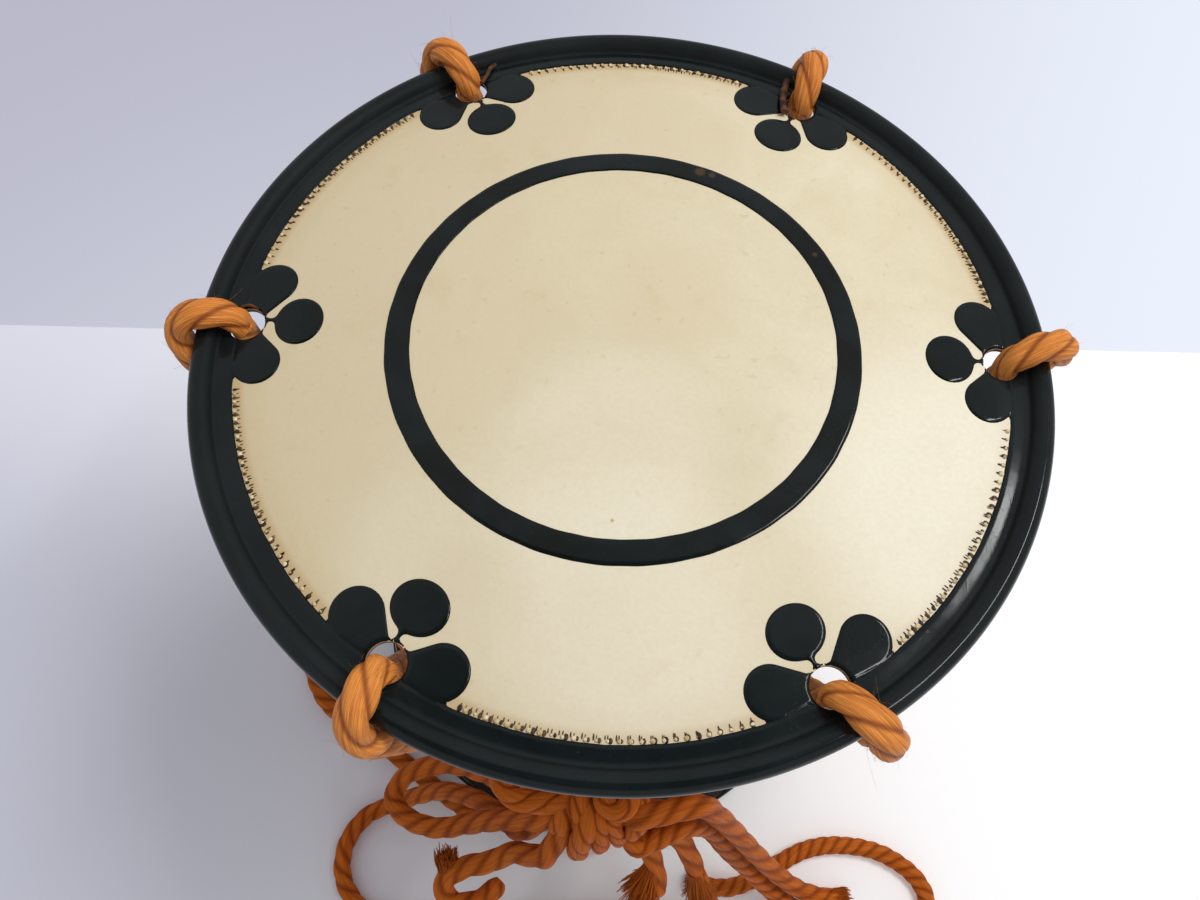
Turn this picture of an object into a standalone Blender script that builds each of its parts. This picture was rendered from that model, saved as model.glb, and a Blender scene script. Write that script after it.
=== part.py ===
"""A small hourglass hand drum: a turned body between two round heads, laced together with rope.

The drum stands upright on its lower head's six rope bights. Z = 0 is the table, and the Z axis is the
drum's own axis. A head is modelled once, in a frame whose Z = 0 is its playing surface, and placed twice.
All lengths are in metres.
"""

import math

import bmesh
import bpy
from mathutils import Matrix, Vector

# Clearance between touching pieces
GAP = 0.0003

# Heads. The border and the flap under the skin are measured in from the rim, the seam from the border.
HOLE_COUNT = 6
RIM_RADIUS = 0.100
HOOP_WIRE_RADIUS = 0.0014
SKIN_THICKNESS = 0.0006
LACQUER_THICKNESS = 0.0003
HOOP_DEPTH = 0.0031
SKIN_FALL = 0.0032
BORDER_WIDTH = 0.010
SEAM_SETBACK = 0.0014
SEAM_THREAD_RADIUS = 0.0004
SEAM_POINTS = 5
FLAP_WIDTH = 0.021
RING_LAP = 0.0006
RING_WIDTH = 0.0058
HEAD_STEPS = 30
BEAD_STEP = math.radians(45)

# Rope holes, measured in from the rim, and the lacquered petals, measured in from their hole and across
HOLE_SETBACK = 0.0112
HOLE_RADIUS = 0.0043
HOLE_OUTLINE = 0.0005
STEM_WIDTH = 0.0011
ROUND_PETAL_SETBACK = 0.0125
ROUND_PETAL_HALF = (0.0058, 0.0064)
SIDE_PETAL_SETBACK = 0.0044
SIDE_PETAL_ACROSS = 0.0100
SIDE_PETAL_HALF = (0.0078, 0.0057)
SIDE_PETAL_ANGLE = math.radians(57)

# Shapes that only cut reach past what they cut
CUT_DEPTH = 0.03
CUT_MARGIN = 0.01

# Body
BODY_LENGTH = 0.248
MOUTH_RADIUS = 0.050
LIP_WIDTH = 0.006
NECK_RADIUS = 0.0225
NECK_LENGTH = 0.072
BORE_RADIUS = 0.0145
RIDGE_HEIGHT = 0.002
RIDGE_WIDTH = 0.005
CUP_SWEEP = math.radians(104)
CUP_RINGS = 4
BODY_STEPS = 30

# Rope
ROPE_RADIUS = 0.00375
BIGHT_SHARE = 0.85
HOLE_SHARE = 0.68
STANDING_CUT = 0.0007
WAIST_SHARE = 0.72
BIGHT_LEAN = math.radians(3)
LACE_STEP = math.radians(180 / HOLE_COUNT)
WRAP_ANGLES = (130, 100, 67, 33, 0, -15)
RIM_TO_KNEE_SHARES = (0.25, 0.6)
KNEE_TO_HOLE_SHARES = (0.4, 0.8)
HOLE_APPROACH_INSET = 0.0016
HOLE_APPROACH_SHARE = 0.975
HOLE_APPROACH_HEIGHT = 0.012
HOLE_STRAIGHT = 0.004

# Waist cord
WAIST_PITCH = 0.0081
WAIST_STEP = math.radians(15)
LEAD_ANGLE = math.radians(315)
WAIST_TURNS = 2.75
WAIST_HOLD = 0.0175
LEAD_STRAIGHTS = (0.036, 0.018)
LEAD_BEND = (0.006, 0.003)

# Knot at the front of the waist cord
KNOT_CORE_HALF = 0.015
KNOT_CORE_TILT = 0.006
KNOT_RING_RADIUS = 0.0071
KNOT_RING_PLACES = (-0.009, -0.001, 0.007)
KNOT_RING_LEAN = 0.0015
KNOT_RING_POINTS = 10
KNOT_LOBES = ((-0.0053, 0.026), (0.0030, 0.026), (0.0090, 0.0185))
LOBE_REACH = 0.009
LOBE_START = 0.004
HEART_SHARE = 0.8
HEART_SIDES = 12
STUB_SPREAD = 0.4
STUB_SETBACK = 0.001
KNOT_SIDES = 6

# Colours from the photo, with roughness and metallic values
FINISHES = {
    "skin": ((0.80, 0.68, 0.48), 0.45, 0.0),
    "black_lacquer": ((0.012, 0.018, 0.016), 0.15, 0.0),
    "iron": ((0.10, 0.09, 0.08), 0.55, 1.0),
    "thread": ((0.72, 0.62, 0.42), 0.7, 0.0),
    "lacquered_wood": ((0.015, 0.010, 0.008), 0.2, 0.0),
    "orange_rope": ((0.62, 0.22, 0.05), 0.65, 0.0),
}

# Sizes that follow from the ones above
BORDER_RADIUS = RIM_RADIUS - BORDER_WIDTH
SEAM_RADIUS = BORDER_RADIUS - SEAM_SETBACK
FLAP_RADIUS = RIM_RADIUS - FLAP_WIDTH
HOLE_CENTRE = RIM_RADIUS - HOLE_SETBACK
ROUND_PETAL_CENTRE = HOLE_CENTRE - ROUND_PETAL_SETBACK
SIDE_PETAL_CENTRE = HOLE_CENTRE - SIDE_PETAL_SETBACK
RING_INNER_RADIUS = MOUTH_RADIUS - RING_LAP
WAIST_RADIUS = RIM_RADIUS * WAIST_SHARE
BEAD_RADIUS = HOOP_WIRE_RADIUS + 2 * GAP + SKIN_THICKNESS + LACQUER_THICKNESS
HOOP_RADIUS = RIM_RADIUS - BEAD_RADIUS
SKIN_BEAD_RADIUS = HOOP_WIRE_RADIUS + GAP + SKIN_THICKNESS
BIGHT_RADIUS = ROPE_RADIUS * BIGHT_SHARE
HOLE_ROPE_RADIUS = ROPE_RADIUS * HOLE_SHARE
WRAP_CLEARANCE = (BEAD_RADIUS + GAP) / math.cos(BEAD_STEP / 2)
BIGHT_REACH = WRAP_CLEARANCE + 2 * BIGHT_RADIUS
HEAD_SPACING = BODY_LENGTH + 2 * (GAP + SKIN_THICKNESS)
LOWER_PLANE = BIGHT_REACH - HOOP_DEPTH - STANDING_CUT
UPPER_PLANE = LOWER_PLANE + HEAD_SPACING
MIDDLE = LOWER_PLANE + HEAD_SPACING / 2
WAIST_CORD_RADIUS = WAIST_RADIUS + 2 * ROPE_RADIUS + GAP
KNOT_Y = -(WAIST_CORD_RADIUS + 2 * ROPE_RADIUS + KNOT_RING_RADIUS + 2 * GAP)

# Free cords: name, the route's own points, and whether the last point is back at the knot. Each route
# starts at the knot's stub of that cord. Heights are above the table. A cord with tight bends has its
# points closer together.
FLOOR = ROPE_RADIUS + 0.0001
CORD_SPACING = 0.021
TIGHT_SPACING = 0.009
TIGHT_CORDS = ("bow_loop", "frayed_tail")
CORD_SIDES = 8
CURVE_STEPS = 12
STUB_LENGTH = 0.007
CORD_ROUTES = {
    "bow_loop": (
        [
            (-0.0215, -0.0995, 0.1203), (-0.0325, -0.0995, 0.1030), (-0.0440, -0.1008, 0.0885),
            (-0.0562, -0.1025, 0.0800), (-0.0678, -0.0999, 0.0740), (-0.0748, -0.0938, 0.0710),
            (-0.0734, -0.0876, 0.0730), (-0.0668, -0.0830, 0.0780), (-0.0549, -0.0811, 0.0870),
            (-0.0435, -0.0830, 0.0990), (-0.0330, -0.0865, 0.1095), (-0.0225, -0.0885, 0.1210),
        ],
        True,
    ),
    "left_table_loop": (
        [
            (-0.0180, -0.0996, 0.1070), (-0.0260, -0.1020, 0.0940), (-0.0391, -0.0939, 0.0740),
            (-0.0490, -0.0899, 0.0570), (-0.0607, -0.0875, 0.0400), (-0.0737, -0.0886, 0.0220),
            (-0.0872, -0.0922, 0.0090), (-0.0986, -0.0970, FLOOR), (-0.1054, -0.1067, FLOOR),
            (-0.1065, -0.1179, FLOOR), (-0.1018, -0.1282, FLOOR), (-0.0915, -0.1360, FLOOR),
            (-0.0763, -0.1390, FLOOR), (-0.0531, -0.1379, FLOOR), (-0.0280, -0.1347, FLOOR),
            (-0.0026, -0.1323, FLOOR), (0.0229, -0.1303, FLOOR), (0.0442, -0.1285, FLOOR),
        ],
        False,
    ),
    "right_table_loop": (
        [
            (0.0207, -0.1030, 0.1135), (0.0310, -0.0985, 0.1115), (0.0408, -0.0979, 0.0900),
            (0.0518, -0.1038, 0.0610), (0.0637, -0.1102, 0.0370), (0.0759, -0.1177, 0.0180),
            (0.0898, -0.1246, 0.0050), (0.1059, -0.1311, FLOOR), (0.1248, -0.1339, FLOOR),
            (0.1401, -0.1294, FLOOR), (0.1462, -0.1199, FLOOR), (0.1416, -0.1093, FLOOR),
            (0.1274, -0.1008, FLOOR), (0.1091, -0.0986, FLOOR), (0.0945, -0.1013, FLOOR),
            (0.0824, -0.1075, FLOOR), (0.0722, -0.1136, FLOOR), (0.0621, -0.1176, 0.0045),
            (0.0536, -0.1180, FLOOR), (0.0458, -0.1161, FLOOR),
        ],
        False,
    ),
    "right_tail": (
        [
            (0.0195, -0.0965, 0.1370), (0.0329, -0.0932, 0.1320), (0.0406, -0.0947, 0.1150),
            (0.0510, -0.0989, 0.0880), (0.0626, -0.1046, 0.0600), (0.0747, -0.1108, 0.0360),
            (0.0877, -0.1164, 0.0160), (0.0999, -0.1191, 0.0050), (0.1096, -0.1195, FLOOR),
        ],
        False,
    ),
    "tassel_tail": (
        [
            (0.0165, -0.0955, 0.1115), (0.0287, -0.1006, 0.0950), (0.0357, -0.1071, 0.0790),
            (0.0414, -0.1163, 0.0620), (0.0452, -0.1236, 0.0500),
        ],
        False,
    ),
    "short_tail": (
        [
            (0.0075, -0.0945, 0.1105), (0.0152, -0.0994, 0.0980), (0.0203, -0.1060, 0.0880),
            (0.0237, -0.1130, 0.0780), (0.0249, -0.1199, 0.0690),
        ],
        False,
    ),
    "frayed_tail": (
        [
            (-0.0190, -0.1100, 0.1120), (-0.0268, -0.1095, 0.1020), (-0.0343, -0.1126, 0.0980),
            (-0.0419, -0.1143, 0.0950), (-0.0481, -0.1174, 0.0920), (-0.0502, -0.1219, 0.0900),
            (-0.0469, -0.1258, 0.0880), (-0.0405, -0.1258, 0.0870), (-0.0347, -0.1228, 0.0860),
            (-0.0309, -0.1185, 0.0860),
        ],
        False,
    ),
    "far_strand": (
        [
            (-0.0185, -0.0912, 0.111), (-0.026, -0.0930, 0.080), (-0.042, -0.0975, 0.034),
            (-0.063, -0.0885, 0.009), (-0.082, -0.0765, FLOOR), (-0.105, -0.062, FLOOR),
            (-0.127, -0.048, FLOOR), (-0.138, -0.022, FLOOR), (-0.134, 0.008, FLOOR),
            (-0.121, 0.034, FLOOR),
        ],
        False,
    ),
}


def clear_scene():
    for old in list(bpy.data.objects):
        bpy.data.objects.remove(old, do_unlink=True)


def new_collection(name, hidden):
    made = bpy.data.collections.new(name)
    bpy.context.scene.collection.children.link(made)
    made.hide_render = hidden
    return made


def make_materials():
    made = {}
    for name, (colour, roughness, metallic) in FINISHES.items():
        material = bpy.data.materials.new(name)
        material.use_nodes = True
        shader = material.node_tree.nodes["Principled BSDF"]
        shader.inputs["Base Color"].default_value = (*colour, 1.0)
        shader.inputs["Roughness"].default_value = roughness
        shader.inputs["Metallic"].default_value = metallic
        made[name] = material
    return made


def link(name, data, collection):
    made = bpy.data.objects.new(name, data)
    collection.objects.link(made)
    return made


def cutter(name, data, collection):
    made = link(name, data, collection)
    made.hide_render = True
    made.display_type = "WIRE"
    return made


def evaluated_mesh(source, weld=True):
    """The object's mesh with its modifiers done and its loose caps welded; the object itself is removed."""
    bpy.context.view_layer.update()
    graph = bpy.context.evaluated_depsgraph_get()
    made = bpy.data.meshes.new_from_object(source.evaluated_get(graph))
    made.transform(source.matrix_world)
    shape = bmesh.new()
    shape.from_mesh(made)
    if weld:
        bmesh.ops.remove_doubles(shape, verts=shape.verts, dist=0.000005)
        bmesh.ops.recalc_face_normals(shape, faces=shape.faces)
    shape.to_mesh(made)
    shape.free()
    bpy.data.objects.remove(source, do_unlink=True)
    return made


def profile_mesh(name, points, closed):
    """A chain of (radius, height) points in the XZ plane, for a Screw modifier."""
    made = bpy.data.meshes.new(name)
    shape = bmesh.new()
    corners = [shape.verts.new((radius, 0, height)) for radius, height in points]
    for first, second in zip(corners, corners[1:]):
        shape.edges.new((first, second))
    if closed:
        shape.edges.new((corners[-1], corners[0]))
    shape.to_mesh(made)
    shape.free()
    return made


def turned(name, points, collection, steps, closed=True, thickness=None):
    """A profile turned round Z; an open one becomes a sheet of the given thickness about its line."""
    made = link(name, profile_mesh(name, points, closed), collection)
    screw = made.modifiers.new("turn", "SCREW")
    screw.steps = steps
    screw.render_steps = steps
    screw.use_merge_vertices = True
    screw.merge_threshold = 0.00001
    if thickness is not None:
        wall = made.modifiers.new("wall", "SOLIDIFY")
        wall.thickness = thickness
        wall.offset = 0
        wall.use_even_offset = True
    return made


def tube(name, points, radius, collection, sides, shares=None, closed=False):
    """A rope along the points, with capped ends unless it is closed. A share thins it at that point."""
    data = bpy.data.curves.new(name, "CURVE")
    data.dimensions = "3D"
    data.bevel_depth = radius
    data.bevel_resolution = (sides - 4) // 2
    data.use_fill_caps = True
    spline = data.splines.new("POLY")
    spline.use_cyclic_u = closed
    spline.points.add(len(points) - 1)
    for index, place in enumerate(points):
        spline.points[index].co = (*place, 1)
        spline.points[index].radius = 1 if shares is None else shares[index]
    return link(name, data, collection)


def boolean(target, other, operation, solver="EXACT"):
    step = target.modifiers.new(operation.lower(), "BOOLEAN")
    step.operation = operation
    step.solver = solver
    step.object = other


def polar(radius, angle, height):
    return Vector((radius * math.cos(angle), radius * math.sin(angle), height))


def prism(name, half_sizes, centre, turn, sides, collection):
    """An upright elliptical column that reaches past both faces of a head's sheet."""
    shape = bmesh.new()
    bmesh.ops.create_cone(shape, cap_ends=True, segments=sides, radius1=1, radius2=1, depth=CUT_DEPTH)
    size = Matrix.Diagonal((*half_sizes, 1, 1))
    bmesh.ops.transform(shape, matrix=Matrix.Rotation(turn, 4, "Z") @ size, verts=shape.verts)
    bmesh.ops.translate(shape, vec=centre, verts=shape.verts)
    data = bpy.data.meshes.new(name)
    shape.to_mesh(data)
    shape.free()
    return cutter(name, data, collection)


def skin_top(radius):
    """Height of the skin's upper face: level over the body's mouth, then falling towards the seam."""
    fall = SKIN_FALL * (radius - MOUTH_RADIUS) / (SEAM_RADIUS - MOUTH_RADIUS)
    return -max(0.0, fall)


def bead_arc(radius, first, last):
    """Points round the hoop's wire from one angle to a lower one; 90 degrees is up, 0 is outward."""
    count = round((first - last) / BEAD_STEP)
    angles = [first - index * BEAD_STEP for index in range(count + 1)]
    return [(HOOP_RADIUS + radius * math.cos(turn), radius * math.sin(turn) - HOOP_DEPTH) for turn in angles]


def sheet_line(offset, start_radius):
    """The top sheet's line at this height over the skin's upper face, from start_radius to the groove."""
    groove = HOOP_RADIUS - SKIN_BEAD_RADIUS - offset
    inner = [(start_radius, skin_top(start_radius) + offset)]
    if start_radius < MOUTH_RADIUS:
        inner.append((MOUTH_RADIUS, offset))
    return [*inner, (groove, skin_top(groove) + offset)]


def skin_profile():
    middle = -SKIN_THICKNESS / 2
    flap = middle - SKIN_THICKNESS - GAP
    groove = HOOP_RADIUS - SKIN_BEAD_RADIUS - middle
    arc = bead_arc(SKIN_BEAD_RADIUS + middle, math.radians(135), math.radians(-135))
    return [
        *sheet_line(middle, 0),
        *arc,
        (groove, skin_top(groove) + flap),
        (FLAP_RADIUS, skin_top(FLAP_RADIUS) + flap),
    ]


def border_profile():
    middle = GAP + LACQUER_THICKNESS / 2
    start = ROUND_PETAL_CENTRE - 2 * ROUND_PETAL_HALF[0]
    arc = bead_arc(SKIN_BEAD_RADIUS + middle, math.radians(135), math.radians(-45))
    return [*sheet_line(middle, start), *arc]


def petal_group_mesh(collection):
    """The lacquer round the hole at angle 0: hole outline, stem and three petals, as one upright column."""
    outline = HOLE_RADIUS + HOLE_OUTLINE
    stem_half = (HOLE_CENTRE - ROUND_PETAL_CENTRE) / 2
    stem_centre = ROUND_PETAL_CENTRE + stem_half
    columns = [
        prism("outline", (outline, outline), (HOLE_CENTRE, 0, 0), 0, 11, collection),
        prism("stem", (stem_half, STEM_WIDTH / 2), (stem_centre, 0, 0), 0, 6, collection),
        prism("round_petal", ROUND_PETAL_HALF, (ROUND_PETAL_CENTRE, 0, 0), 0, 13, collection),
    ]
    for side in (-1, 1):
        centre = (SIDE_PETAL_CENTRE, side * SIDE_PETAL_ACROSS, 0)
        lean = math.pi - side * SIDE_PETAL_ANGLE
        columns.append(prism("side_petal", SIDE_PETAL_HALF, centre, lean, 11, collection))
    return united(columns)


def united(pieces, solver="EXACT"):
    """One mesh from overlapping pieces; the pieces are removed."""
    whole = pieces[0]
    for other in pieces[1:]:
        boolean(whole, other, "UNION", solver)
    mesh = evaluated_mesh(whole, weld=solver == "EXACT")
    for other in pieces[1:]:
        bpy.data.objects.remove(other, do_unlink=True)
    return mesh


def border_keep_shape(collection):
    """What is left of the lacquer sheet: the border, and the petal group of each hole."""
    group = petal_group_mesh(collection)
    shape = bmesh.new()
    for index in range(HOLE_COUNT):
        copy = group.copy()
        copy.transform(Matrix.Rotation(index * math.tau / HOLE_COUNT, 4, "Z"))
        shape.from_mesh(copy)
    groups = bpy.data.meshes.new("petal_groups")
    shape.to_mesh(groups)
    shape.free()
    outer = RIM_RADIUS + CUT_MARGIN
    top = CUT_DEPTH / 2 - SKIN_THICKNESS
    frame = [(outer, top), (outer, -top), (BORDER_RADIUS, -top), (BORDER_RADIUS, top)]
    edge = turned("border_edge", frame, collection, HEAD_STEPS)
    return cutter("border_keep", united([edge, link("groups", groups, collection)]), collection)


def hole_cutters(collection):
    return [
        prism("hole", (HOLE_RADIUS, HOLE_RADIUS), polar(HOLE_CENTRE, turn, 0), turn, 11, collection)
        for turn in (index * math.tau / HOLE_COUNT for index in range(HOLE_COUNT))
    ]


def head_meshes(parts, cutters):
    """Meshes of one head's pieces, in the head's own frame."""
    holes = hole_cutters(cutters)
    skin = turned("skin", skin_profile(), parts, HEAD_STEPS, closed=False, thickness=SKIN_THICKNESS)
    border = turned("border", border_profile(), parts, HEAD_STEPS, closed=False, thickness=LACQUER_THICKNESS)
    keep = border_keep_shape(cutters)
    boolean(border, keep, "INTERSECT")
    for hole in holes:
        boolean(skin, hole, "DIFFERENCE")
        boolean(border, hole, "DIFFERENCE")
    made = {
        "skin": (evaluated_mesh(skin), "skin"),
        "border_and_petals": (evaluated_mesh(border), "black_lacquer"),
    }
    for used in (keep, *holes):
        bpy.data.objects.remove(used, do_unlink=True)
    wire = bead_arc(HOOP_WIRE_RADIUS, math.pi / 2, BEAD_STEP - 1.5 * math.pi)
    hoop = turned("hoop", wire, parts, HEAD_STEPS)
    made["hoop"] = (evaluated_mesh(hoop), "iron")
    middle = GAP + LACQUER_THICKNESS / 2
    ring_outer = RING_INNER_RADIUS + RING_WIDTH
    line = [
        (RING_INNER_RADIUS, middle),
        (MOUTH_RADIUS, middle),
        (ring_outer, skin_top(ring_outer) + middle),
    ]
    ring = turned("ring", line, parts, HEAD_STEPS, closed=False, thickness=LACQUER_THICKNESS)
    made["ring"] = (evaluated_mesh(ring), "black_lacquer")
    return made


def seam_mesh(parts):
    """One stretch of stitches between two groups of petals."""
    along = abs(SIDE_PETAL_HALF[0] * math.sin(SIDE_PETAL_ANGLE))
    across = abs(SIDE_PETAL_HALF[1] * math.cos(SIDE_PETAL_ANGLE))
    reach = SIDE_PETAL_ACROSS + math.hypot(along, across) + 2 * GAP
    start = math.asin(reach / SEAM_RADIUS)
    step = (math.tau / HOLE_COUNT - 2 * start) / (SEAM_POINTS - 1)
    height = skin_top(SEAM_RADIUS) + GAP + SEAM_THREAD_RADIUS
    points = [polar(SEAM_RADIUS, start + step * index, height) for index in range(SEAM_POINTS)]
    return evaluated_mesh(tube("seam", points, SEAM_THREAD_RADIUS, parts, 4))


def head_matrix(upper):
    if upper:
        return Matrix.Translation((0, 0, UPPER_PLANE))
    turned_over = Matrix.Rotation(LACE_STEP, 4, "Z") @ Matrix.Rotation(math.pi, 4, "X")
    return Matrix.Translation((0, 0, LOWER_PLANE)) @ turned_over


def place(name, mesh, matrix, parts, material):
    made = bpy.data.objects.new(name, mesh)
    parts.objects.link(made)
    if not mesh.materials:
        mesh.materials.append(material)
    elif mesh.materials[0] != material:
        mesh.materials.clear()
        mesh.materials.append(material)
    made.matrix_world = matrix
    mesh.shade_smooth()
    mesh.set_sharp_from_angle(angle=math.radians(35))
    return made


def build_heads(parts, cutters, materials):
    meshes = head_meshes(parts, cutters)
    seam = seam_mesh(parts)
    for label, upper in (("upper", True), ("lower", False)):
        matrix = head_matrix(upper)
        for piece, (mesh, finish) in meshes.items():
            place(f"{label}_{piece}", mesh, matrix, parts, materials[finish])
        for index in range(HOLE_COUNT):
            turn = Matrix.Rotation(index * math.tau / HOLE_COUNT, 4, "Z")
            place(f"{label}_seam_{index + 1}", seam, matrix @ turn, parts, materials["thread"])


def cup_line(neck, mouth):
    """Points of one cup from its mouth to its neck, swelling a little below the mouth."""
    cup_length = (BODY_LENGTH - NECK_LENGTH) / 2
    swell = (mouth - neck) / math.sin(CUP_SWEEP)
    line = []
    for index in range(CUP_RINGS + 1):
        share = 1 - index / CUP_RINGS
        line.append((neck + swell * math.sin(CUP_SWEEP * share), NECK_LENGTH / 2 + cup_length * share))
    return line


def build_body(parts, materials):
    ridge = [
        (NECK_RADIUS + RIDGE_HEIGHT, NECK_LENGTH / 2),
        (NECK_RADIUS + RIDGE_HEIGHT, NECK_LENGTH / 2 - RIDGE_WIDTH),
        (NECK_RADIUS, NECK_LENGTH / 2 - RIDGE_WIDTH),
    ]
    upper_outer = [*cup_line(NECK_RADIUS, MOUTH_RADIUS)[:-1], *ridge]
    outer = [*upper_outer, *[(radius, -height) for radius, height in reversed(upper_outer)]]
    bowl = cup_line(BORE_RADIUS, MOUTH_RADIUS - LIP_WIDTH)
    inner = [*[(radius, -height) for radius, height in bowl], *reversed(bowl)]
    mesh = evaluated_mesh(turned("body", [*outer, *inner], parts, BODY_STEPS))
    place("body", mesh, Matrix.Translation((0, 0, MIDDLE)), parts, materials["lacquered_wood"])


def lacing_route():
    """One run: from its joint in the upper hole over the rim, down past the waist, into a lower hole.

    Heights are above the drum's middle. The run's angle starts at 0 and ends a hole step further round.
    """
    half = HEAD_SPACING / 2
    hole = HOLE_CENTRE + HOLE_RADIUS - GAP - HOLE_ROPE_RADIUS
    joint = half + skin_top(HOLE_CENTRE) - SKIN_THICKNESS - GAP / 2
    route = [
        (polar(hole, 0, joint + GAP / 2), HOLE_SHARE),
        (polar(hole, 0, half - HOOP_DEPTH / 4), HOLE_SHARE),
    ]
    for index, degrees in enumerate(WRAP_ANGLES):
        share = (HOLE_SHARE + BIGHT_SHARE) / 2 if index == 0 else BIGHT_SHARE
        reach = WRAP_CLEARANCE + ROPE_RADIUS * share
        turn = math.radians(degrees)
        lean = BIGHT_LEAN * (index + 0.5) / (len(WRAP_ANGLES) - 0.5)
        radius = HOOP_RADIUS + reach * math.cos(turn)
        route.append((polar(radius, lean, half - HOOP_DEPTH + reach * math.sin(turn)), share))
    rim = route[-1][0]
    upper_knee = polar(WAIST_RADIUS, LACE_STEP / 2, WAIST_HOLD)
    lower_knee = polar(WAIST_RADIUS, LACE_STEP / 2, -WAIST_HOLD)
    approach_angle = LACE_STEP * HOLE_APPROACH_SHARE
    approach = polar(hole - HOLE_APPROACH_INSET, approach_angle, HOLE_APPROACH_HEIGHT - joint)
    route += [(rim.lerp(upper_knee, share), 1) for share in RIM_TO_KNEE_SHARES]
    route += [(upper_knee, 1), (lower_knee, 1)]
    route += [(lower_knee.lerp(approach, share), 1) for share in KNEE_TO_HOLE_SHARES]
    route.append((approach, (1 + HOLE_SHARE) / 2))
    route.append((polar(hole, LACE_STEP, HOLE_STRAIGHT - joint), HOLE_SHARE))
    route.append((polar(hole, LACE_STEP, GAP / 2 - joint), HOLE_SHARE))
    return route


def lacing_mesh(parts, cutters, upper):
    """The run over the upper rim, or its mirror image under the lower one, cut flat where the drum stands."""
    side = 1 if upper else -1
    route = lacing_route()
    points = [Vector((place.x, place.y, MIDDLE + side * place.z)) for place, _ in route]
    run = tube("run", points, ROPE_RADIUS, parts, CORD_SIDES, [share for _, share in route])
    mesh = evaluated_mesh(run)
    if upper:
        return mesh
    cut_run = link("cut_run", mesh, parts)
    shape = bmesh.new()
    bmesh.ops.create_cube(shape, size=RIM_RADIUS)
    bmesh.ops.translate(shape, vec=(RIM_RADIUS, 0, -RIM_RADIUS / 2), verts=shape.verts)
    data = bpy.data.meshes.new("table")
    shape.to_mesh(data)
    shape.free()
    table = cutter("table", data, cutters)
    boolean(cut_run, table, "DIFFERENCE")
    mesh = evaluated_mesh(cut_run)
    bpy.data.objects.remove(table, do_unlink=True)
    return mesh


def build_lacing(parts, cutters, materials):
    for label, upper in (("upper", True), ("lower", False)):
        mesh = lacing_mesh(parts, cutters, upper)
        for index in range(HOLE_COUNT):
            turn = index * math.tau / HOLE_COUNT
            if not upper:
                turn += LACE_STEP
            matrix = Matrix.Rotation(turn, 4, "Z")
            place(f"lacing_{label}_{index + 1}", mesh, matrix, parts, materials["orange_rope"])


def lead_points():
    """The waist cord's way from its last turn out to the knot's side, on the right of the knot."""
    height = -WAIST_PITCH * WAIST_TURNS / 2
    leave = polar(WAIST_CORD_RADIUS, LEAD_ANGLE, height)
    tangent = Vector((math.sin(LEAD_ANGLE), -math.cos(LEAD_ANGLE), 0))
    far_out, near = (leave + tangent * length for length in LEAD_STRAIGHTS)
    knot_side = Vector((KNOT_CORE_HALF + GAP, KNOT_Y, -KNOT_CORE_TILT))
    straight = knot_side + Vector((2 * ROPE_RADIUS, 0, 0))
    bend = Vector((straight.x + LEAD_BEND[0], KNOT_Y + LEAD_BEND[1], (height - KNOT_CORE_TILT) / 2))
    return [knot_side, straight, bend, far_out, near]


def build_waist_cord(parts, materials):
    lead = lead_points()
    count = round(math.tau * WAIST_TURNS / WAIST_STEP)
    low = -WAIST_PITCH * WAIST_TURNS / 2
    turns = []
    for index in range(count + 1):
        height = low + WAIST_PITCH * index * WAIST_STEP / math.tau
        turns.append(polar(WAIST_CORD_RADIUS, LEAD_ANGLE + index * WAIST_STEP, height))
    back = [Vector((-place.x, place.y, -place.z)) for place in reversed(lead)]
    points = [*lead, *turns, *back]
    print("waist cord: least gap to itself", round(least_gap(points) * 1000, 2), "mm")
    lifted = [place + Vector((0, 0, MIDDLE)) for place in points]
    cord = tube("waist", lifted, ROPE_RADIUS, parts, KNOT_SIDES)
    place("waist_cord", evaluated_mesh(cord), Matrix.Identity(4), parts, materials["orange_rope"])


def segment_distance(first, second):
    """Least distance between two straight stretches, tried at points a tenth apart."""
    shares = [index / 10 for index in range(11)]
    ours = [first[0].lerp(first[1], share) for share in shares]
    theirs = [second[0].lerp(second[1], share) for share in shares]
    return min((one - other).length for one in ours for other in theirs)


def least_gap(points):
    """Least gap of a rope to itself, between stretches that don't follow each other closely."""
    stretches = list(zip(points, points[1:]))
    least = 1.0
    for index, first in enumerate(stretches):
        for second in stretches[index + 4:]:
            least = min(least, segment_distance(first, second))
    return least - 2 * ROPE_RADIUS


def knot_stub(start, onward):
    """A stretch of cord from the knot's core to the place where the free cord goes on."""
    way = (onward - start).normalized()
    half = KNOT_CORE_HALF * STUB_SPREAD
    x = max(-half, min(half, start.x))
    core = Vector((x, KNOT_Y - STUB_SETBACK, MIDDLE - KNOT_CORE_TILT * x / half))
    return [core, start - way * STUB_LENGTH, start - way * GAP]


def knot_lobe(x, drop):
    """A small bight that hangs from the knot's front."""
    top = Vector((x, KNOT_Y - LOBE_START, MIDDLE - LOBE_START))
    end = Vector((0, -LOBE_REACH, -drop))
    return [top, top + end / 2, top + end]


def knot_ring(x):
    """A wrap of the cord round the knot's core, leaning a little along it."""
    points = []
    for index in range(KNOT_RING_POINTS):
        turn = index * math.tau / KNOT_RING_POINTS
        across = KNOT_RING_RADIUS * math.cos(turn)
        up = KNOT_RING_RADIUS * math.sin(turn)
        points.append(Vector((x + KNOT_RING_LEAN * math.sin(turn), KNOT_Y + across, MIDDLE + up)))
    return points


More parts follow.
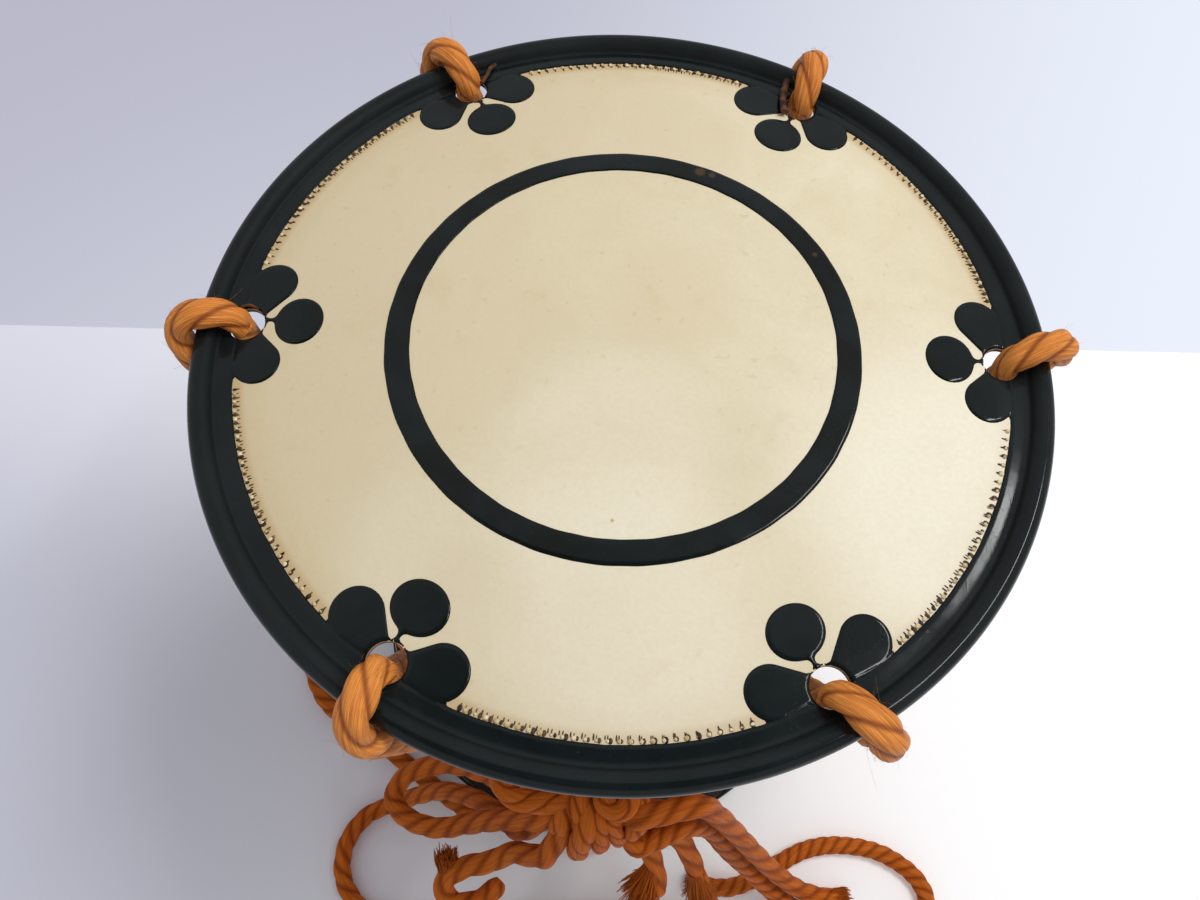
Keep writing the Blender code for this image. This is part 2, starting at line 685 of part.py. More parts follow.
def build_knot(parts, materials, cord_points):
    core = [
        Vector((KNOT_CORE_HALF * share, KNOT_Y, MIDDLE - math.copysign(KNOT_CORE_TILT, share)))
        for share in (1, 0.5, -0.5, -1)
    ]
    shapes = [core, *[knot_lobe(x, drop) for x, drop in KNOT_LOBES]]
    rings = [knot_ring(x) for x in KNOT_RING_PLACES]
    for name, (_, returns) in CORD_ROUTES.items():
        points = cord_points[name]
        shapes.append(knot_stub(points[0], points[1]))
        if returns:
            shapes.append(knot_stub(points[-1], points[-2]))
    heart_end = Vector((KNOT_CORE_HALF * HEART_SHARE, 0, 0))
    heart_centre = Vector((0, KNOT_Y, MIDDLE))
    heart_line = [heart_centre - heart_end, heart_centre + heart_end]
    heart = tube("heart", heart_line, KNOT_RING_RADIUS, parts, HEART_SIDES)
    tubes = [link("knot_piece", evaluated_mesh(heart), parts)]
    for route in [*shapes, *rings]:
        piece = tube("piece", route, ROPE_RADIUS, parts, KNOT_SIDES, closed=route in rings)
        tubes.append(link("knot_piece", evaluated_mesh(piece), parts))
    mesh = united(tubes, "MANIFOLD")
    place("knot", mesh, Matrix.Identity(4), parts, materials["orange_rope"])


def smooth_route(route, spacing):
    """Points about one spacing apart, read from a smooth curve through the route's own points."""
    places = [Vector(point) for point in route]
    ends = [places[0] * 2 - places[1], *places, places[-1] * 2 - places[-2]]
    fine = []
    for before, first, second, after in zip(ends, ends[1:], ends[2:], ends[3:]):
        for index in range(CURVE_STEPS):
            share = index / CURVE_STEPS
            cube = share ** 3
            square = share ** 2
            fine.append(0.5 * (2 * first + (second - before) * share
                               + (2 * before - 5 * first + 4 * second - after) * square
                               + (3 * first - before - 3 * second + after) * cube))
    fine.append(places[-1])
    lengths = [0.0]
    for first, second in zip(fine, fine[1:]):
        lengths.append(lengths[-1] + (second - first).length)
    count = max(3, round(lengths[-1] / spacing))
    points = []
    for index in range(count + 1):
        wanted = lengths[-1] * index / count
        stop = next(i for i, length in enumerate(lengths) if length >= wanted - 1e-12)
        points.append(fine[stop])
    return points, lengths[-1]


def free_cord_points():
    """Every free cord's points, none lower than a cord that lies on the table."""
    found = {}
    for name, (route, _) in CORD_ROUTES.items():
        spacing = TIGHT_SPACING if name in TIGHT_CORDS else CORD_SPACING
        points, length = smooth_route(route, spacing)
        for point in points:
            point.z = max(point.z, FLOOR)
        print(name, "length", round(length * 1000), "mm,", len(points), "points")
        found[name] = points
    return found


def build_free_cords(parts, materials, cord_points):
    for name, points in cord_points.items():
        cord = tube(name, points, ROPE_RADIUS, parts, CORD_SIDES)
        place(name, evaluated_mesh(cord), Matrix.Identity(4), parts, materials["orange_rope"])


def main():
    clear_scene()
    parts = new_collection("hand_drum", False)
    cutters = new_collection("cutters", True)
    materials = make_materials()
    build_heads(parts, cutters, materials)
    build_body(parts, materials)
    build_lacing(parts, cutters, materials)
    build_waist_cord(parts, materials)
    cord_points = free_cord_points()
    build_knot(parts, materials, cord_points)
    build_free_cords(parts, materials, cord_points)
    names = sorted(piece.name for piece in parts.objects)
    print(len(names), "pieces:", ", ".join(names))


main()
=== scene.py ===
"""A dressed hand drum: lacquered skins, stitches and orange rope round the packed solids.

Lengths are in metres and angles in radians. A head is shaped in a frame of its own, whose Z = 0 is its
playing surface, and is placed twice. Patterns on the heads are worked out in millimetres.
"""

import math
import bmesh
import bpy
import numpy as np
from mathutils import Matrix, Vector


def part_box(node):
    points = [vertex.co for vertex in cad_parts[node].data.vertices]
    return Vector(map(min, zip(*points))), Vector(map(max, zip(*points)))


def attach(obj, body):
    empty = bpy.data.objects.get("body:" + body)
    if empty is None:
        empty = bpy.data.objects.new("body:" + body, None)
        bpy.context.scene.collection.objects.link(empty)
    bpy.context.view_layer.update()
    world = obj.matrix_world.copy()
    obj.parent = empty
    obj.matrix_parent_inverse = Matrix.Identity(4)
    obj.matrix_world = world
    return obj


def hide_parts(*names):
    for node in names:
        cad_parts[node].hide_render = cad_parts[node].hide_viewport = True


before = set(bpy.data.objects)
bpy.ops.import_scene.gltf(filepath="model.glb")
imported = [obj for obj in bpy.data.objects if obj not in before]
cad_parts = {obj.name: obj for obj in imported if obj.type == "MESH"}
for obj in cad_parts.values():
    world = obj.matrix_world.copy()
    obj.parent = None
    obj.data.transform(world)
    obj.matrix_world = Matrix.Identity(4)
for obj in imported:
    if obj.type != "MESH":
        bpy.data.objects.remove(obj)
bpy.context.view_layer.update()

bl_info = {
    "name": "Laced hand drum",
    "version": (1, 0, 0),
    "blender": (4, 5, 0),
    "location": "View3D > Sidebar > Hand drum",
    "description": "Dresses a hand drum's solids with skins, lacquer, stitches and twisted rope",
    "category": "Add Mesh",
}

# Places that follow from the packed solids
UPPER_PLANE = float(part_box("upper_skin")[1][2])
LOWER_PLANE = float(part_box("lower_skin")[0][2])
MIDDLE = (UPPER_PLANE + LOWER_PLANE) / 2
GAP = 0.0003

# Heads
HOLE_COUNT = 6
HOLE_STEP = math.tau / HOLE_COUNT
RIM_RADIUS = 0.100
MOUTH_RADIUS = 0.050
SEAM_RADIUS = 0.0886
SKIN_FALL = 0.0032
SKIN_THICKNESS = 0.0006
FLAP_RADIUS = 0.079
FLAP_DROP = 0.0015
BEAD_CENTRE = (0.0973, -0.00305)
BEAD_SKIN_RADIUS = 0.00235
BEAD_ARC = (197, -100)
LACQUER_ARC_END = -58
LINE_STEP = 0.0001
LINE_SOFTNESS = 0.0009

# Lacquer on the heads, in millimetres; a place is (radius, offset across) from its hole's own line
COAT = 0.35
COAT_EDGE = 1.0
HOLE_CENTRE = 88.8
HOLE_SIZE = 4.3
OUTLINE_SIZE = 4.8
BORDER_EDGE = 90.1
RING_MIDDLE = 52.33
RING_HALF = 2.93
ROUND_PETAL = (76.3, 5.8, 6.4)
STEM = (81.6, 84.6, 0.45)
SIDE_PETAL_ROOT = (86.8, 4.6, 3.0)
SIDE_PETAL_TIP = (84.3, 11.3, 5.7)

# How far the petals of each hole of the upper head stray from its line: the round petal, its stem, and
# the two side petals. They were painted by hand.
ROUND_SHIFTS = (0.1, 0.0, -0.6, -0.9, -0.9, -0.6)
STEM_SHIFTS = (0.2, 0.0, -0.7, -1.2, -1.1, -0.45)
LEFT_SHIFTS = (1.1, 0.8, 0.7, -0.1, 0.2, 0.1)
RIGHT_SHIFTS = (0.1, -0.2, -0.7, -0.9, -0.8, 0.1)

# Stitches
STITCH_PITCH = 0.00215
STITCH_START = math.radians(11.3)

# Body
BODY_LENGTH = 0.248
LIP_WIDTH = 0.006
NECK_RADIUS = 0.0225
NECK_LENGTH = 0.072
BORE_RADIUS = 0.0145
RIDGE_HEIGHT = 0.002
RIDGE_WIDTH = 0.005
CUP_SWEEP = math.radians(104)

# Rope
ROPE_RADIUS = 0.00375
FIBRE_STRAIGHTNESS = 0.85
BIGHT_SHARE = 0.85
HOLE_SHARE = 0.68
HOOP_RADIUS = 0.0971
HOOP_DEPTH = 0.0031
WRAP_CLEARANCE = 0.003464
WRAP_ANGLES = (130, 100, 67, 33, 0, -15)
BIGHT_LEAN = math.radians(3)
LACE_STEP = HOLE_STEP / 2
WAIST_RADIUS = 0.072
WAIST_HOLD = 0.0175
WAIST_CORD_RADIUS = 0.0798
WAIST_PITCH = 0.0081
WAIST_TURNS = 2.75
LEAD_ANGLE = math.radians(315)
KNOT_Y = -0.0950
KNOT_CORE_HALF = 0.015
KNOT_CORE_TILT = 0.006
KNOT_RING_RADIUS = 0.0058
KNOT_RING_PLACES = (-0.0105, -0.003, 0.0045, 0.012)
KNOT_RING_LEAN = 0.0015

# Bights in front of the knot: each one's points, the rope's share at its middle and at its end
KNOT_BIGHTS = (
    ([(-0.0005, -0.0937, 0.141), (-0.0017, -0.0989, 0.141), (-0.0035, -0.1044, 0.134),
      (-0.0049, -0.1082, 0.120)], 1.0),
    ([(0.0007, -0.0937, 0.141), (0.0013, -0.0987, 0.141), (0.0020, -0.1035, 0.133),
      (0.0024, -0.1064, 0.120)], 0.8),
    ([(0.0023, -0.0936, 0.141), (0.0043, -0.0980, 0.141), (0.0066, -0.1018, 0.133),
      (0.0084, -0.1043, 0.121)], 0.75),
    ([(-0.0043, -0.0917, 0.142), (-0.0043, -0.0962, 0.142), (-0.0037, -0.1010, 0.134),
      (-0.0023, -0.1035, 0.124)], 0.85),
    ([(0.0024, -0.0916, 0.146), (0.0028, -0.0947, 0.146), (0.0044, -0.0963, 0.146),
      (0.0065, -0.0967, 0.146), (0.0085, -0.0960, 0.146), (0.0100, -0.0940, 0.146),
      (0.0102, -0.0909, 0.146)], 0.95),
)
FLOOR = ROPE_RADIUS + 0.0001
CURVE_STEPS = 12

# Free cords: the solids' own route points, whether the cord goes back to the knot, what its far end is,
# and how it lies
CORDS = {
    "bow_loop": (
        [
            (-0.0215, -0.0995, 0.1203), (-0.0325, -0.0995, 0.1030), (-0.0440, -0.1008, 0.0885),
            (-0.0562, -0.1025, 0.0800), (-0.0678, -0.0999, 0.0740), (-0.0748, -0.0938, 0.0710),
            (-0.0734, -0.0876, 0.0730), (-0.0668, -0.0830, 0.0780), (-0.0549, -0.0811, 0.0870),
            (-0.0435, -0.0830, 0.0990), (-0.0330, -0.0865, 0.1095), (-0.0225, -0.0885, 0.1210),
        ],
        True, "object", "hanging",
    ),
    "left_table_loop": (
        [
            (-0.0180, -0.0996, 0.1070), (-0.0260, -0.1020, 0.0940), (-0.0391, -0.0939, 0.0740),
            (-0.0490, -0.0899, 0.0570), (-0.0607, -0.0875, 0.0400), (-0.0737, -0.0886, 0.0220),
            (-0.0872, -0.0922, 0.0090), (-0.0986, -0.0970, FLOOR), (-0.1054, -0.1067, FLOOR),
            (-0.1065, -0.1179, FLOOR), (-0.1018, -0.1282, FLOOR), (-0.0915, -0.1360, FLOOR),
            (-0.0763, -0.1390, FLOOR), (-0.0531, -0.1379, FLOOR), (-0.0280, -0.1347, FLOOR),
            (-0.0026, -0.1323, FLOOR), (0.0229, -0.1303, FLOOR), (0.0442, -0.1285, FLOOR),
        ],
        False, "bare", "loose",
    ),
    "right_table_loop": (
        [
            (0.0207, -0.1030, 0.1135), (0.0310, -0.0985, 0.1115), (0.0408, -0.0979, 0.0900),
            (0.0518, -0.1038, 0.0610), (0.0637, -0.1102, 0.0370), (0.0759, -0.1177, 0.0180),
            (0.0898, -0.1246, 0.0050), (0.1059, -0.1311, FLOOR), (0.1248, -0.1339, FLOOR),
            (0.1401, -0.1294, FLOOR), (0.1462, -0.1199, FLOOR), (0.1416, -0.1093, FLOOR),
            (0.1274, -0.1008, FLOOR), (0.1091, -0.0986, FLOOR), (0.0945, -0.1013, FLOOR),
            (0.0824, -0.1075, FLOOR), (0.0722, -0.1136, FLOOR), (0.0621, -0.1176, 0.0045),
            (0.0536, -0.1180, FLOOR), (0.0458, -0.1161, FLOOR),
        ],
        False, "bare", "loose",
    ),
    "right_tail": (
        [
            (0.0195, -0.0965, 0.1370), (0.0329, -0.0932, 0.1320), (0.0406, -0.0947, 0.1150),
            (0.0510, -0.0989, 0.0880), (0.0626, -0.1046, 0.0600), (0.0747, -0.1108, 0.0360),
            (0.0877, -0.1164, 0.0160), (0.0999, -0.1191, 0.0050), (0.1096, -0.1195, FLOOR),
        ],
        False, "bare", "loose",
    ),
    "tassel_tail": (
        [
            (0.0165, -0.0955, 0.1115), (0.0287, -0.1006, 0.0950), (0.0357, -0.1071, 0.0790),
            (0.0414, -0.1163, 0.0620), (0.0452, -0.1236, 0.0500),
        ],
        False, "bare", "hanging",
    ),
    "short_tail": (
        [
            (0.0075, -0.0945, 0.1105), (0.0152, -0.0994, 0.0980), (0.0203, -0.1060, 0.0880),
            (0.0237, -0.1130, 0.0780), (0.0249, -0.1199, 0.0690),
        ],
        False, "bare", "hanging",
    ),
    "frayed_tail": (
        [
            (-0.0190, -0.1100, 0.1120), (-0.0268, -0.1095, 0.1020), (-0.0343, -0.1126, 0.0980),
            (-0.0419, -0.1143, 0.0950), (-0.0481, -0.1174, 0.0920), (-0.0502, -0.1219, 0.0900),
            (-0.0469, -0.1258, 0.0880), (-0.0405, -0.1258, 0.0870), (-0.0347, -0.1228, 0.0860),
            (-0.0309, -0.1185, 0.0860),
        ],
        False, "bare", "hanging",
    ),
    "far_strand": (
        [
            (-0.0185, -0.0912, 0.111), (-0.026, -0.0930, 0.080), (-0.042, -0.0975, 0.034),
            (-0.063, -0.0885, 0.009), (-0.082, -0.0765, FLOOR), (-0.105, -0.062, FLOOR),
            (-0.127, -0.048, FLOOR), (-0.138, -0.022, FLOOR), (-0.134, 0.008, FLOOR),
            (-0.121, 0.034, FLOOR),
        ],
        False, "bare", "loose",
    ),
}

# Cords whose strands are twisted more tightly than the others'
CORD_LAYS = {"right_table_loop": 0.7}
STEEP_LEVEL = 0.4

# Loose yarns at the cords' ends: where they leave the rope, where they end, how wide they fan out, how
# many there are and how thick
TUFTS = {
    "right_tail": ((0.1050, -0.1193, 0.0045), (0.1120, -0.1187, 0.0045), 0.0040, 200, 0.0003),
    "tassel_tail": ((0.0385, -0.1118, 0.072), (0.0437, -0.1228, 0.052), 0.0066, 260, 0.0003),
    "short_tail": ((0.0220, -0.1110, 0.082), (0.0178, -0.1222, 0.069), 0.0082, 300, 0.0003),
    "frayed_tail": ((-0.0492, -0.1165, 0.092), (-0.0497, -0.1100, 0.0965), 0.0042, 160, 0.0003),
}
TUFT_START = 0.003

# Stains and chips on the upper head, and paler patches, partly painted sheen: place across it, radius and strength
SKIN_SPOTS = (
    (0.0108, -0.0798, 0.0018, 0.5), (-0.0607, -0.0420, 0.0005, 0.9), (-0.0007, -0.0453, 0.0005, 0.9),
    (0.012, 0.012, 0.022, 0.12), (-0.028, -0.063, 0.016, 0.12),
)
# The first paler patch, at the skin's right edge, is painted sheen where the window's light glares; the others only
# lighten the skin
PALE_AND_SHEEN_SPOTS = (
    (0.078, -0.035, 0.055, 0.75), (0.005, -0.068, 0.040, 0.4), (-0.002, -0.030, 0.035, 0.35),
    (-0.035, -0.055, 0.030, 0.25),
)
LACQUER_SPOTS = ((0.0174, 0.0502, 0.0018, 0.6), (0.0205, 0.0493, 0.0012, 0.5), (0.0455, 0.0262, 0.0009, 0.5))

# Threads caught in the upper head's holes: points across the head, thickness, and whether they are dark
CAUGHT_THREADS = (
    ([(-0.0906, 0.0042), (-0.0888, 0.0047), (-0.0866, 0.0037)], 0.00035, True),
    ([(-0.0416, 0.0790), (-0.0405, 0.0825), (-0.0399, 0.0850), (-0.0387, 0.0868)], 0.0006, False),
    ([(0.0422, 0.0900), (0.0409, 0.0842), (0.0398, 0.0790), (0.0400, 0.0734)], 0.0010, True),
)

# Table and lamps; a lamp's place is measured from the upper head's centre
TABLE_REACH = 3.0
WALL_PLACE = 0.157
WALL_SLANT = -0.035
WINDOW_OFFSET = (0.28, 0.16, 0.68)
WINDOW_ALONG = (-0.16, 0.28, 0.0)
WINDOW_SIZE = (0.30, 0.22)
GLINT_OFFSET = (0.56, 0.03, 0.83)
GLINT_ALONG = (0.16, 0.55, -0.12)
GLINT_SIZE = (0.58, 0.07)
PHOTOGRAPHER = (-0.01, -0.42, 0.91)

# Camera, found from the photograph, in the upper head's own frame
LENS = 27.0
SENSOR = 36.0
CAMERA_ELEVATION = math.radians(65.398)
CAMERA_AZIMUTH = math.radians(0.556)
CAMERA_ROLL = math.radians(2.588)
CAMERA_DISTANCE = 0.19651
CAMERA_TARGET = (-0.00409, -0.02915)


class Value:
    """A number or vector from a node's socket; Python's operators add Math nodes."""

    def __init__(self, graph, made, output=0):
        self.graph = graph
        self.made = made
        self.socket = made.outputs[output]

    def out(self, output):
        return Value(self.graph, self.made, output)

    def __add__(self, other):
        return self.graph.math("ADD", self, other)

    def __sub__(self, other):
        return self.graph.math("SUBTRACT", self, other)

    def __rsub__(self, other):
        return self.graph.math("SUBTRACT", other, self)

    def __mul__(self, other):
        return self.graph.math("MULTIPLY", self, other)

    def __truediv__(self, other):
        return self.graph.math("DIVIDE", self, other)

    def __rtruediv__(self, other):
        return self.graph.math("DIVIDE", other, self)

    def __pow__(self, other):
        return self.graph.math("POWER", self, other)

    __radd__ = __add__
    __rmul__ = __mul__


class Graph:
    """Adds nodes to a tree of either kind."""

    def __init__(self, tree):
        self.tree = tree

    def node(self, kind, settings=None, sockets=None, output=0):
        made = self.tree.nodes.new(kind)
        for key, value in (settings or {}).items():
            setattr(made, key, value)
        for key, value in (sockets or {}).items():
            if isinstance(value, Value):
                self.tree.links.new(value.socket, made.inputs[key])
            else:
                made.inputs[key].default_value = value
        return Value(self, made, output)

    def math(self, operation, *values):
        return self.node("ShaderNodeMath", {"operation": operation}, dict(enumerate(values)))

    def vector(self, operation, first, second=None, output=0):
        sockets = {0: first}
        if second is not None:
            sockets["Scale" if operation == "SCALE" else 1] = second
        return self.node("ShaderNodeVectorMath", {"operation": operation}, sockets, output)

    def length(self, first):
        return self.vector("LENGTH", first, output=1)

    def combined(self, x, y, z):
        return self.node("ShaderNodeCombineXYZ", None, {0: x, 1: y, 2: z})

    def parts(self, vector):
        made = self.node("ShaderNodeSeparateXYZ", None, {0: vector})
        return made, made.out(1), made.out(2)

    def noise(self, place, scale, detail=2.0, roughness=0.5, distortion=0.0):
        sockets = {"Vector": place, "Scale": scale, "Detail": detail, "Roughness": roughness}
        sockets["Distortion"] = distortion
        return self.node("ShaderNodeTexNoise", None, sockets)

    def eased(self, value, low, high, first=0.0, last=1.0):
        settings = {"interpolation_type": "SMOOTHSTEP"}
        return self.node("ShaderNodeMapRange", settings, {0: value, 1: low, 2: high, 3: first, 4: last})

    def mix(self, factor, first, second, blend="MIX"):
        sockets = {0: factor}
        for key, colour in ((6, first), (7, second)):
            sockets[key] = colour if isinstance(colour, Value) else (*tuple(colour)[:3], 1.0)
        return self.node("ShaderNodeMix", {"data_type": "RGBA", "blend_type": blend}, sockets, 2)


class Finish(Graph):
    """A material round one Principled shader. Constants are set on the shader's own sockets."""

    def __init__(self, name, **constants):
        self.material = bpy.data.materials.new(name)
        self.material.use_nodes = True
        super().__init__(self.material.node_tree)
        self.shader = self.tree.nodes["Principled BSDF"]
        for key, value in constants.items():
            self.shader.inputs[key.replace("_", " ")].default_value = value

    def place(self):
        return self.node("ShaderNodeTexCoord", output="Object")

    def attribute(self, name, output="Fac"):
        return self.node("ShaderNodeAttribute", {"attribute_name": name}, output=output)

    def bump(self, height, distance, strength=1.0, normal=None):
        sockets = {"Strength": strength, "Distance": distance, "Height": height}
        if normal is not None:
            sockets["Normal"] = normal
        return self.node("ShaderNodeBump", None, sockets)

    def finish(self, **links):
        for key, value in links.items():
            self.tree.links.new(value.socket, self.shader.inputs[key.replace("_", " ")])
        return self.material


class Shaper(Graph):
    """A Geometry Nodes tree with named inputs."""

    def __init__(self, name, inputs):
        super().__init__(bpy.data.node_groups.new(name, "GeometryNodeTree"))
        self.tree.interface.new_socket("Geometry", in_out="INPUT", socket_type="NodeSocketGeometry")
        for key, kind in inputs.items():
            self.tree.interface.new_socket(key, in_out="INPUT", socket_type=f"NodeSocket{kind}")
        self.tree.interface.new_socket("Geometry", in_out="OUTPUT", socket_type="NodeSocketGeometry")
        self.source = self.tree.nodes.new("NodeGroupInput")

    def given(self, name):
        return Value(self, self.source, name)

    def stored(self, kind):
        settings = {"data_type": "FLOAT_VECTOR" if kind == "wide" else "FLOAT"}
        return self.node("GeometryNodeInputNamedAttribute", settings, {"Name": kind})

    def read(self, name, kind="FLOAT"):
        return self.node("GeometryNodeInputNamedAttribute", {"data_type": kind}, {"Name": name})

    def store(self, geometry, name, value, kind="FLOAT"):
        settings = {"data_type": kind, "domain": "POINT"}
        sockets = {"Geometry": geometry, "Name": name, "Value": value}
        return self.node("GeometryNodeStoreNamedAttribute", settings, sockets)

    def moved(self, geometry, place):
        return self.node("GeometryNodeSetPosition", None, {"Geometry": geometry, "Position": place})

    def finish(self, geometry):
        smooth = self.node("GeometryNodeSetShadeSmooth", None, {0: geometry})
        real = self.node("GeometryNodeRealizeInstances", None, {0: smooth})
        painted = self.node(
            "GeometryNodeSetMaterial", None, {"Geometry": real, "Material": self.given("Material")}
        )
        end = self.tree.nodes.new("NodeGroupOutput")
        self.tree.links.new(painted.socket, end.inputs[0])
        return self.tree


def linked(name, data):
    made = bpy.data.objects.new(name, data)
    bpy.context.scene.collection.objects.link(made)
    return made


def baked(source, tree, inputs):
    """The source's mesh after the tree. The source is removed."""
    modifier = source.modifiers.new(tree.name, "NODES")
    modifier.node_group = tree
    for item in tree.interface.items_tree:
        if item.in_out == "INPUT" and item.name in inputs:
            modifier[item.identifier] = inputs[item.name]
    source.update_tag()
    bpy.context.view_layer.update()
    graph = bpy.context.evaluated_depsgraph_get()
    mesh = bpy.data.meshes.new_from_object(source.evaluated_get(graph))
    source.modifiers.clear()
    bpy.data.objects.remove(source, do_unlink=True)
    return mesh


def plain_mesh(name, places, faces, material, smooth_angle=None, numbers=None):
    mesh = bpy.data.meshes.new(name)
    mesh.from_pydata([], [], [])
    mesh.vertices.add(len(places))
    mesh.vertices.foreach_set("co", np.asarray(places, np.float32).ravel())
    sizes = np.array([len(face) for face in faces])
    mesh.loops.add(int(sizes.sum()))
    mesh.loops.foreach_set("vertex_index", np.concatenate([np.asarray(face) for face in faces]))
    mesh.polygons.add(len(faces))
    mesh.polygons.foreach_set("loop_start", np.concatenate([[0], np.cumsum(sizes)[:-1]]))
    mesh.update(calc_edges=True)
    mesh.validate()
    mesh.materials.append(material)
    mesh.shade_smooth()
    if smooth_angle is not None:
        mesh.set_sharp_from_angle(angle=math.radians(smooth_angle))
    for key, values in (numbers or {}).items():
        layer = mesh.attributes.new(key, "FLOAT", "POINT")
        layer.data.foreach_set("value", np.asarray(values, np.float32))
    return mesh


def dressed(name, mesh, nodes):
    """A finished piece that rides on the drum and stands for these nodes."""
    made = linked(name, mesh)
    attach(made, "root")
    if nodes:
        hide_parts(*nodes)
    return made


def polar(radius, angle, height=0.0):
    return np.array([radius * math.cos(angle), radius * math.sin(angle), height])


def softened(values, sigma):
    """A Gaussian blur along the first axis that leaves both ends where they are; sigma in samples."""
    if sigma <= 0:
        return values
    reach = min(int(4 * sigma) + 1, len(values) - 1)
    weights = np.exp(-0.5 * (np.arange(-reach, reach + 1) / sigma) ** 2)
    weights /= weights.sum()
    before = 2 * values[0] - values[reach:0:-1]
    after = 2 * values[-1] - values[-2:-reach - 2:-1]
    padded = np.concatenate([before, values, after])
    return np.stack([np.convolve(column, weights, "valid") for column in padded.T], 1)


def resampled(values, spacing, sigma=0.0):
    """Rows about one spacing apart by the length of their first three columns, softened by sigma metres."""
    values = np.asarray(values, float)
    steps = np.linalg.norm(np.diff(values[:, :3], axis=0), axis=1)
    along = np.concatenate([[0], np.cumsum(steps)])
    count = max(3, round(along[-1] / spacing))
    wanted = np.linspace(0, along[-1], count + 1)
    even = np.stack([np.interp(wanted, along, column) for column in values.T], 1)
    return softened(even, sigma * count / along[-1])


def head_matrix(upper):
    if upper:
        return Matrix.Translation((0, 0, UPPER_PLANE))
    turned_over = Matrix.Rotation(LACE_STEP, 4, "Z") @ Matrix.Rotation(math.pi, 4, "X")
    return Matrix.Translation((0, 0, LOWER_PLANE)) @ turned_over


def skin_top(radius):
    """Height of the skin's upper face: level over the body's mouth, then falling towards the seam."""
    fall = SKIN_FALL * (np.asarray(radius) - MOUTH_RADIUS) / (SEAM_RADIUS - MOUTH_RADIUS)
    return -np.maximum(0.0, fall)


class HeadLine:
    """The skin's outer face in section, from the centre over the rim to the end of the flap underneath."""

    def __init__(self):
        top = np.linspace(0, BEAD_CENTRE[0] - BEAD_SKIN_RADIUS, 400)
        turns = np.radians(np.linspace(*BEAD_ARC, 120))
        arc = np.stack([
            BEAD_CENTRE[0] + BEAD_SKIN_RADIUS * np.cos(turns),
            BEAD_CENTRE[1] + BEAD_SKIN_RADIUS * np.sin(turns),
        ], 1)
        under = np.linspace(BEAD_CENTRE[0] - BEAD_SKIN_RADIUS, FLAP_RADIUS, 60)
        line = np.concatenate([
            np.stack([top, skin_top(top)], 1),
            arc,
            np.stack([under, skin_top(under) - FLAP_DROP], 1),
        ])
        flat = np.insert(line, 1, 0, axis=1)
        even = resampled(flat, LINE_STEP, LINE_SOFTNESS)
        self.radius, self.height = even[:, 0], even[:, 2]
        steps = np.hypot(np.diff(self.radius), np.diff(self.height))
        self.along = np.concatenate([[0], np.cumsum(steps)])
        slope = np.stack([np.gradient(self.radius, self.along), np.gradient(self.height, self.along)], 1)
        slope /= np.linalg.norm(slope, axis=1)[:, None]
        self.out, self.up = -slope[:, 1], slope[:, 0]
        self.length = self.along[-1]

    def at(self, along, name):
        return np.interp(along, self.along, getattr(self, name))

    def place(self, along, turn, lift):
        """Points at this length from the centre, this angle, and this far off the face."""
        radius = self.at(along, "radius") + lift * self.at(along, "out")
        height = self.at(along, "height") + lift * self.at(along, "up")
        return np.stack([radius * np.cos(turn), radius * np.sin(turn), height], -1)

    def flat_radius(self, along):
        """The radius, or past the rim a number that keeps growing with the length."""
        edge = self.along_top(BEAD_CENTRE[0] - BEAD_SKIN_RADIUS)
        return np.where(along < edge, self.at(along, "radius"), self.at(edge, "radius") + along - edge)

    def along_top(self, radius):
        """Length along the face to this radius on its upper side."""
        top = self.along < 0.096
        return float(np.interp(radius, self.radius[top], self.along[top]))

    def along_arc(self, degrees):
        """Length along the face to this angle round the rim's bead."""
        turn = math.radians(degrees)
        spot = np.array(BEAD_CENTRE) + BEAD_SKIN_RADIUS * np.array([math.cos(turn), math.sin(turn)])
        near = np.hypot(self.radius - spot[0], self.height - spot[1])
        return float(self.along[near.argmin()])


HEAD_LINE = HeadLine()


def stepped(stops):
    """Values from one stop to the next, each stretch with its own step: (start, step), ..., (end, None)."""
    found = []
    for (start, step), (end, _) in zip(stops, stops[1:]):
        count = max(1, round((end - start) / step))
        found += list(np.linspace(start, end, count, endpoint=False))
    return np.array([*found, stops[-1][0]])


def hole_turns(half_width, fine, coarse):
    """Angles round the head, in radians, finer near every hole."""
    period = 360 / HOLE_COUNT
    one = stepped([(-half_width, fine), (half_width, coarse), (period - half_width, None)])[:-1]
    return np.radians(np.concatenate([one + period * index for index in range(HOLE_COUNT)]))


